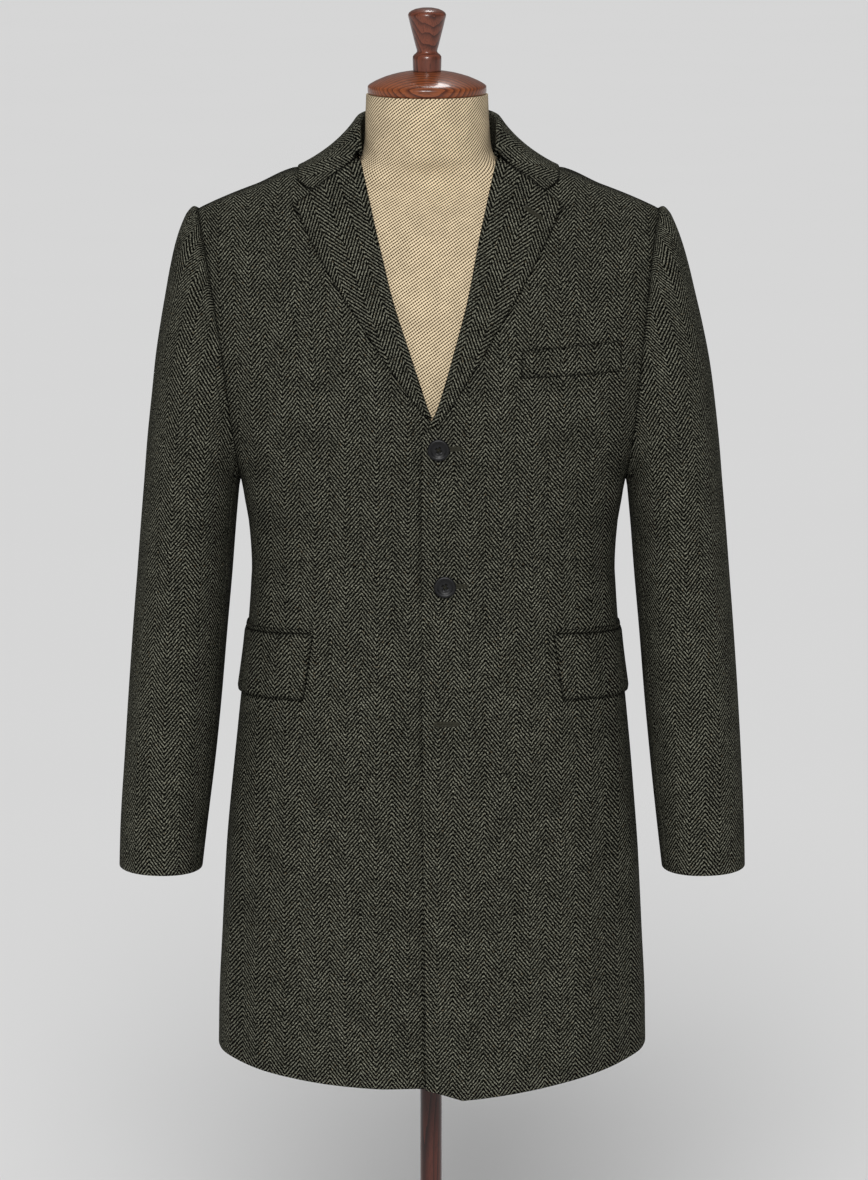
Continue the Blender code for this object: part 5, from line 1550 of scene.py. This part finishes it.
def wrapped_grid(points: np.ndarray, cut: np.ndarray) -> bmesh.types.BMesh:
    """Lay a grid on points, with its flat cut as a UV map, and merge the edges that meet.

    Args:
        points: The grid's points, by row and column.
        cut: Each point's place in the flat cloth.

    Returns:
        The mesh.
    """
    bm = bmesh.new()
    bmesh.ops.create_grid(bm, x_segments=points.shape[1] - 1, y_segments=points.shape[0] - 1,
                          size=1.0)
    bm.verts.ensure_lookup_table()
    spots, flat = points.reshape(-1, 3), cut.reshape(-1, 2)
    cloth = bm.loops.layers.uv.new("Cloth")
    for face in bm.faces:
        for loop in face.loops:
            loop[cloth].uv = flat[loop.vert.index]
    for index, vertex in enumerate(bm.verts):
        vertex.co = spots[index]
    bmesh.ops.remove_doubles(bm, verts=bm.verts, dist=1e-6)
    return bm


def thread_tube(name: str, path: np.ndarray, ups: np.ndarray, radius: float, flatten: float,
                finish: bpy.types.Material, closed: bool, sides: int = 8) -> bpy.types.Object:
    """Wrap a grid round a path as a tube of thread.

    Args:
        name: The object's name.
        path: Points of the path.
        ups: The direction away from the cloth at each point.
        radius: Half the thread's width.
        flatten: The tube's height as a share of its width.
        finish: Its material.
        closed: Whether the path comes back to its start.
        sides: Sides of the tube.

    Returns:
        The tube.
    """
    count = len(path)
    if closed:
        tangent = unit(np.roll(path, -1, 0) - np.roll(path, 1, 0))
        path, ups, tangent = (np.concatenate([a, a[:1]]) for a in (path, ups, tangent))
    else:
        tangent = unit(np.gradient(path, axis=0))
    beside = unit(np.cross(tangent, ups))
    upward = np.cross(beside, tangent)
    turn = np.linspace(0, 2 * math.pi, sides + 1)
    size = np.ones(len(path))
    if not closed:
        size[[0, -1]] = 0.25
    ring = (np.cos(turn)[None, :, None] * beside[:, None] * radius
            + np.sin(turn)[None, :, None] * upward[:, None] * radius * flatten)
    points = path[:, None] + ring * size[:, None, None]
    run = np.concatenate([[0], np.cumsum(np.linalg.norm(np.diff(path, axis=0), axis=-1))])
    bm = wrapped_grid(points, np.stack(np.meshgrid(run, radius * turn, indexing="ij"), axis=-1))
    if not closed:
        bmesh.ops.holes_fill(bm, edges=bm.edges, sides=sides)
    bmesh.ops.recalc_face_normals(bm, faces=bm.faces)
    return finished(name, bm, finish)


@dataclass
class ButtonsAndHoles:
    """Three horn buttons sewn on with thread, their buttonholes and the lapel's."""

    horn: bpy.types.Material
    twist: bpy.types.Material
    steps: int = 48
    hole_radius: float = 0.0010
    hole_reach: float = 0.0021
    hole_thread: float = 0.0014
    lapel_lift: float = 0.0048  # the lapel's outer face above the front, at its buttonhole

    def button(self, name: str, x: float, z: float, layer: Edge) -> bpy.types.Object:
        """Build a button: a turned disc with a rim and four bored holes, on its own place."""
        lift = BUTTON_LIFT if layer is Edge.OVER else GAP - float(OVERLAP_DIP.at("dip", z))
        at, normal = CoatSurface.on_front(np.array(x), np.array(z), lift)
        turn = Vector(normal).to_track_quat("Z", "Y").to_matrix().to_4x4()
        move = Matrix.Translation(Vector(place(at))) @ turn @ Matrix.Rotation(0.3, 4, "Z")
        disc = finished(f"{name}_horn", spin_outline(BUTTON_OUTLINE, self.steps), self.horn, 35.0)
        bores = bmesh.new()
        for quarter in range(4):
            angle = math.pi / 4 + quarter * math.pi / 2
            spot = (self.hole_reach * math.cos(angle), self.hole_reach * math.sin(angle), 0.0015)
            bmesh.ops.create_cone(bores, cap_ends=True, segments=16, radius1=self.hole_radius,
                                  radius2=self.hole_radius, depth=0.006,
                                  matrix=Matrix.Translation(spot))
        cutter = finished(f"{name}_bores", bores, self.horn)
        cut = disc.modifiers.new("bores", "BOOLEAN")
        cut.operation, cut.object, cut.solver = "DIFFERENCE", cutter, "EXACT"
        solid = disc.evaluated_get(bpy.context.evaluated_depsgraph_get())
        bored = bpy.data.meshes.new_from_object(solid)
        disc.modifiers.clear()
        disc.data = bored
        bpy.data.objects.remove(cutter, do_unlink=True)
        bored.transform(move)
        show(disc, "dark_horn", name)
        self.stitches(name, move)
        return disc

    def stitches(self, name: str, move: Matrix) -> None:
        """Sew two bars of thread through the button's holes."""
        for number, turn in enumerate((math.pi / 4, 3 * math.pi / 4)):
            reach = np.linspace(-1, 1, 11)
            bow = 0.0018 + 0.00035 + 0.00028 * number + 0.0002 * (1 - reach**2) - 0.0009 * reach**8
            local = np.stack([reach * self.hole_reach * math.cos(turn),
                              reach * self.hole_reach * math.sin(turn), bow], axis=-1)
            path = np.array([move @ Vector(p) for p in local])
            ups = np.repeat([np.array(move.to_3x3() @ Vector((0, 0, 1)))], len(path), axis=0)
            tube = thread_tube(f"{name}_thread_{number + 1}", path, ups, 0.00042, 0.8, self.twist,
                               False)
            show(tube, "tweed")

    def worked_hole(self, name: str, start: tuple[float, float], end: tuple[float, float],
                    surface: Callable[[np.ndarray, np.ndarray], tuple[np.ndarray, np.ndarray]],
                    width: float) -> bpy.types.Object:
        """Work a ring of stitches round a slit.

        Args:
            name: The piece's name.
            start, end: The slit's ends, seen from the front.
            surface: Gives points and directions on the cloth at x and z.
            width: The ring's width from thread to thread.

        Returns:
            The ring.
        """
        start_at, end_at = np.array(start), np.array(end)
        along = unit(end_at - start_at)
        beside = np.array([-along[1], along[0]])
        turn = np.linspace(0, 2 * math.pi, 56, endpoint=False)
        length = np.linalg.norm(end_at - start_at) / 2
        reach = length * power(np.cos(turn), 0.45)
        seen = (start_at + end_at) / 2 + reach[:, None] * along
        taper = 0.80 - 0.20 * reach / length
        seen = seen + (width / 2 * taper * power(np.sin(turn), 0.6))[:, None] * beside
        points, normals = surface(seen[:, 0], seen[:, 1])
        ring = thread_tube(name, place(points), normals, self.hole_thread, 0.55, self.twist, True)
        return show(ring, "tweed")

    def on_lapel(self, x: np.ndarray, z: np.ndarray) -> tuple[np.ndarray, np.ndarray]:
        """Find points just above the wearer's left lapel."""
        return CoatSurface.on_front(x, z, self.lapel_lift)

    def build(self) -> list[bpy.types.Object]:
        """Build the buttons, their holes and the lapel's hole."""
        made = [self.button(*row) for row in BUTTONS]
        for name, start, end in BUTTONHOLES:
            made.append(self.worked_hole(
                name, start, end, lambda x, z: CoatSurface.on_front(x, z, 0.0002), 0.0031))
        made.append(self.worked_hole("buttonhole_lapel", (0.0935, 1.4330), (0.1095, 1.4222),
                                     self.on_lapel, 0.0022))
        return made


def spin_outline(outline: Sequence[tuple[float, float]], steps: int) -> bmesh.types.BMesh:
    """Spin an outline of radius and height, from top to bottom, about +Z.

    Args:
        outline: Radius and height of each point.
        steps: Steps round the axis.

    Returns:
        A closed mesh that faces outwards.
    """
    bm = bmesh.new()
    points = [bm.verts.new((radius, 0.0, height)) for radius, height in outline]
    edges = [bm.edges.new(pair) for pair in zip(points, points[1:])]
    bmesh.ops.spin(bm, geom=points + edges, cent=(0, 0, 0), axis=(0, 0, 1), angle=2 * math.pi,
                   steps=steps, use_merge=True)
    bmesh.ops.remove_doubles(bm, verts=bm.verts, dist=1e-6)
    bmesh.ops.recalc_face_normals(bm, faces=bm.faces)
    return bm


@dataclass
class DressForm:
    """The limbless torso covered with linen."""

    linen: bpy.types.Material
    columns: int = 120
    rows: int = 150

    def build(self) -> list[bpy.types.Object]:
        """Build the torso: a grid wrapped round its sections, closed at both ends."""
        heights = FORM.key[0] + (FORM.key[-1] - FORM.key[0]) * np.linspace(0, 1, self.rows + 1)
        z = np.sort(np.concatenate([heights, [0.797, 0.799, 0.8055]]))[:, None]
        angle = np.linspace(-math.pi, math.pi, self.columns + 1)[None, :]
        roundness = 2.0 + 0.2 * np.clip((1.44 - z) / 0.1, 0, 1)
        shift = NECK_SHIFT * np.clip((z - NECK_SHIFT_FROM) / NECK_SHIFT_RUN, 0, 1)
        x = FORM.at("half", z) * power(np.sin(angle), 2 / roundness)
        reach = np.where(np.cos(angle) > 0, FORM.at("front", z), FORM.at("back", z))
        y = -reach * power(np.cos(angle), 2 / roundness)
        points = np.stack([x + shift, y, z + 0 * angle], axis=-1)
        run = edge_distance(points, 1, False)
        middle = run[:, [self.columns // 2]]
        up = edge_distance(points[:, [self.columns // 2]], 0, False) + 0 * run
        bm = wrapped_grid(points, np.stack([run - middle, up], axis=-1))
        bmesh.ops.holes_fill(bm, edges=bm.edges, sides=self.columns)
        bmesh.ops.recalc_face_normals(bm, faces=bm.faces)
        piece = finished("form_torso_linen", bm, self.linen, 50.0)
        return [show(piece, "linen", "form_torso")]


@dataclass
class Stand:
    """The turned cap and finial above the neck, and the pole and base below the torso."""

    cap_wood: bpy.types.Material
    finial_wood: bpy.types.Material
    dark_wood: bpy.types.Material

    def turned(self, name: str, outline: Sequence[tuple[float, float]], wood: bpy.types.Material,
               slot: str, node: str, steps: int,
               foot: tuple[float, float, float] = (0.0, 0.0, 0.0)) -> bpy.types.Object:
        """Turn one piece and stand it on its foot.

        Args:
            name: The piece's name.
            outline: Its outline.
            wood: Its material.
            slot: Its material slot; not used.
            node: The node it stands for.
            steps: Steps round the axis.
            foot: Where its outline starts.

        Returns:
            The piece.
        """
        bm = spin_outline(outline, steps)
        bmesh.ops.translate(bm, verts=bm.verts, vec=foot)
        return show(finished(name, bm, wood, 40.0), slot, node)

    def build(self) -> list[bpy.types.Object]:
        """Turn all four pieces."""
        cap_foot = (NECK_SHIFT, 0.0, CAP_BOTTOM)
        finial_foot = (NECK_SHIFT, 0.0, CAP_BOTTOM + CAP_OUTLINE[0][1] + GAP)
        low, high = BASE_TOP + GAP, FORM_BOTTOM - GAP
        pole = [(0.0, high), (POLE_RADIUS - 0.0005, high), (POLE_RADIUS, high - 0.0005)]
        pole += [(POLE_RADIUS, high + (low - high) * k / 24) for k in range(1, 24)]
        pole += [(POLE_RADIUS, low + 0.0005), (POLE_RADIUS - 0.0005, low), (0.0, low)]
        return [
            self.turned("cap_turned", CAP_OUTLINE, self.cap_wood, "varnished_wood", "neck_cap", 96,
                        cap_foot),
            self.turned("finial_turned", FINIAL_OUTLINE, self.finial_wood, "varnished_wood",
                        "finial", 64, finial_foot),
            self.turned("pole_turned", pole, self.dark_wood, "dark_wood", "stand_pole", 48),
            self.turned("base_turned", BASE_OUTLINE, self.dark_wood, "dark_wood", "stand_base", 128),
        ]


@dataclass
class Studio:
    """Floor, soft lights and the camera."""

    target: tuple[float, float, float] = (0.003, 0.0, 1.0442)
    camera_at: tuple[float, float, float] = (0.003, -5.318, 1.9819)
    lens_mm: float = 164.75
    suns: tuple[tuple[float, float, float, float], ...] = field(default=(
        (-2.0, 30.0, 2.95, 20.0),
        (172.0, 58.0, 0.95, 16.0),
    ))  # azimuth from the camera's side, elevation, strength, and angle across
    world: float = 0.18
    backdrop: float = 0.66  # how bright the room looks beyond the floor

    def floor(self) -> None:
        """Lay the floor under the stand."""
        bm = bmesh.new()
        bmesh.ops.create_grid(bm, x_segments=8, y_segments=8, size=60.0)
        bmesh.ops.translate(bm, verts=bm.verts, vec=(0, 0, -0.0002))
        finished("studio_floor", bm, PaintedFloor().build())

    def lights(self) -> None:
        """Hang the broad lights, and fill from all round."""
        for number, (azimuth, elevation, strength, width) in enumerate(self.suns):
            a, e = math.radians(azimuth), math.radians(elevation)
            towards = Vector((math.sin(a) * math.cos(e), -math.cos(a) * math.cos(e), math.sin(e)))
            data = bpy.data.lights.new(f"soft_light_{number + 1}", "SUN")
            data.energy, data.angle = strength, math.radians(width)
            lamp = bpy.data.objects.new(data.name, data)
            lamp.rotation_euler = towards.to_track_quat("Z", "Y").to_euler()
            lamp.location = towards * 4
            bpy.context.scene.collection.objects.link(lamp)
        world = bpy.data.worlds.new("studio")
        world.use_nodes = True
        path = add_node(world.node_tree, "ShaderNodeLightPath")
        seen = add_node(world.node_tree, "ShaderNodeMapRange", {}, {
            "Value": path.outputs["Is Camera Ray"], "To Min": self.world, "To Max": self.backdrop})
        sky = world.node_tree.nodes["Background"]
        sky.inputs["Color"].default_value = (1.0, 1.0, 1.0, 1.0)
        world.node_tree.links.new(seen.outputs["Result"], sky.inputs["Strength"])
        bpy.context.scene.world = world

    def camera(self) -> None:
        """Set up the camera at the photograph's angle."""
        data = bpy.data.cameras.new("camera")
        data.lens, data.sensor_width, data.clip_end = self.lens_mm, 36.0, 200.0
        camera = bpy.data.objects.new("camera", data)
        camera.location = self.camera_at
        look = Vector(self.target) - Vector(self.camera_at)
        camera.rotation_euler = look.to_track_quat("-Z", "Y").to_euler()
        bpy.context.scene.collection.objects.link(camera)
        bpy.context.scene.camera = camera
        bpy.context.scene.view_settings.view_transform = "Standard"

    def build(self) -> None:
        """Set up the studio."""
        self.floor()
        self.lights()
        self.camera()


def main() -> None:
    """Build the studio, the coat and its form, and report each piece."""
    logging.basicConfig(level=logging.INFO, format="%(name)s: %(message)s", stream=sys.stdout)
    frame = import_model()
    LOG.info("frame: %s", type(frame).__name__)
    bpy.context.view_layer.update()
    Studio().build()
    tweed = HerringboneTweed().build()
    twist, horn, linen = ButtonholeTwist().build(), DarkHorn().build(), CoarseLinen().build()
    cap_wood = VarnishedWood("varnished_cap_wood", "#92502d", "#4c2415", "#24100a", 3.4,
                             Grain.ACROSS, (0.05, 0.02, 1.515)).build()
    finial_wood = VarnishedWood("varnished_finial_wood", "#713d2c", "#3a1d15", "#1c0e0a", 2.6,
                                Grain.UPRIGHT, (-0.004, 0.012, 1.60)).build()
    dark_wood = VarnishedWood("varnished_dark_wood", "#4a231a", "#230e0b", "#120705", 3.0,
                              Grain.UPRIGHT, (0.02, 0.03, 0.4), 0.06).build()
    assemblies = (
        BodyPanels(tweed),
        Sleeves(tweed),
        Lapels(tweed),
        Collar(tweed),
        Pockets(tweed),
        ButtonsAndHoles(horn, twist),
        DressForm(linen),
        Stand(cap_wood, finial_wood, dark_wood),
    )
    for assembly in assemblies:
        for piece in assembly.build():
            LOG.info("%s: %s, %d faces", type(assembly).__name__, piece.name,
                     len(piece.data.polygons))


if __name__ == "__main__":
    main()
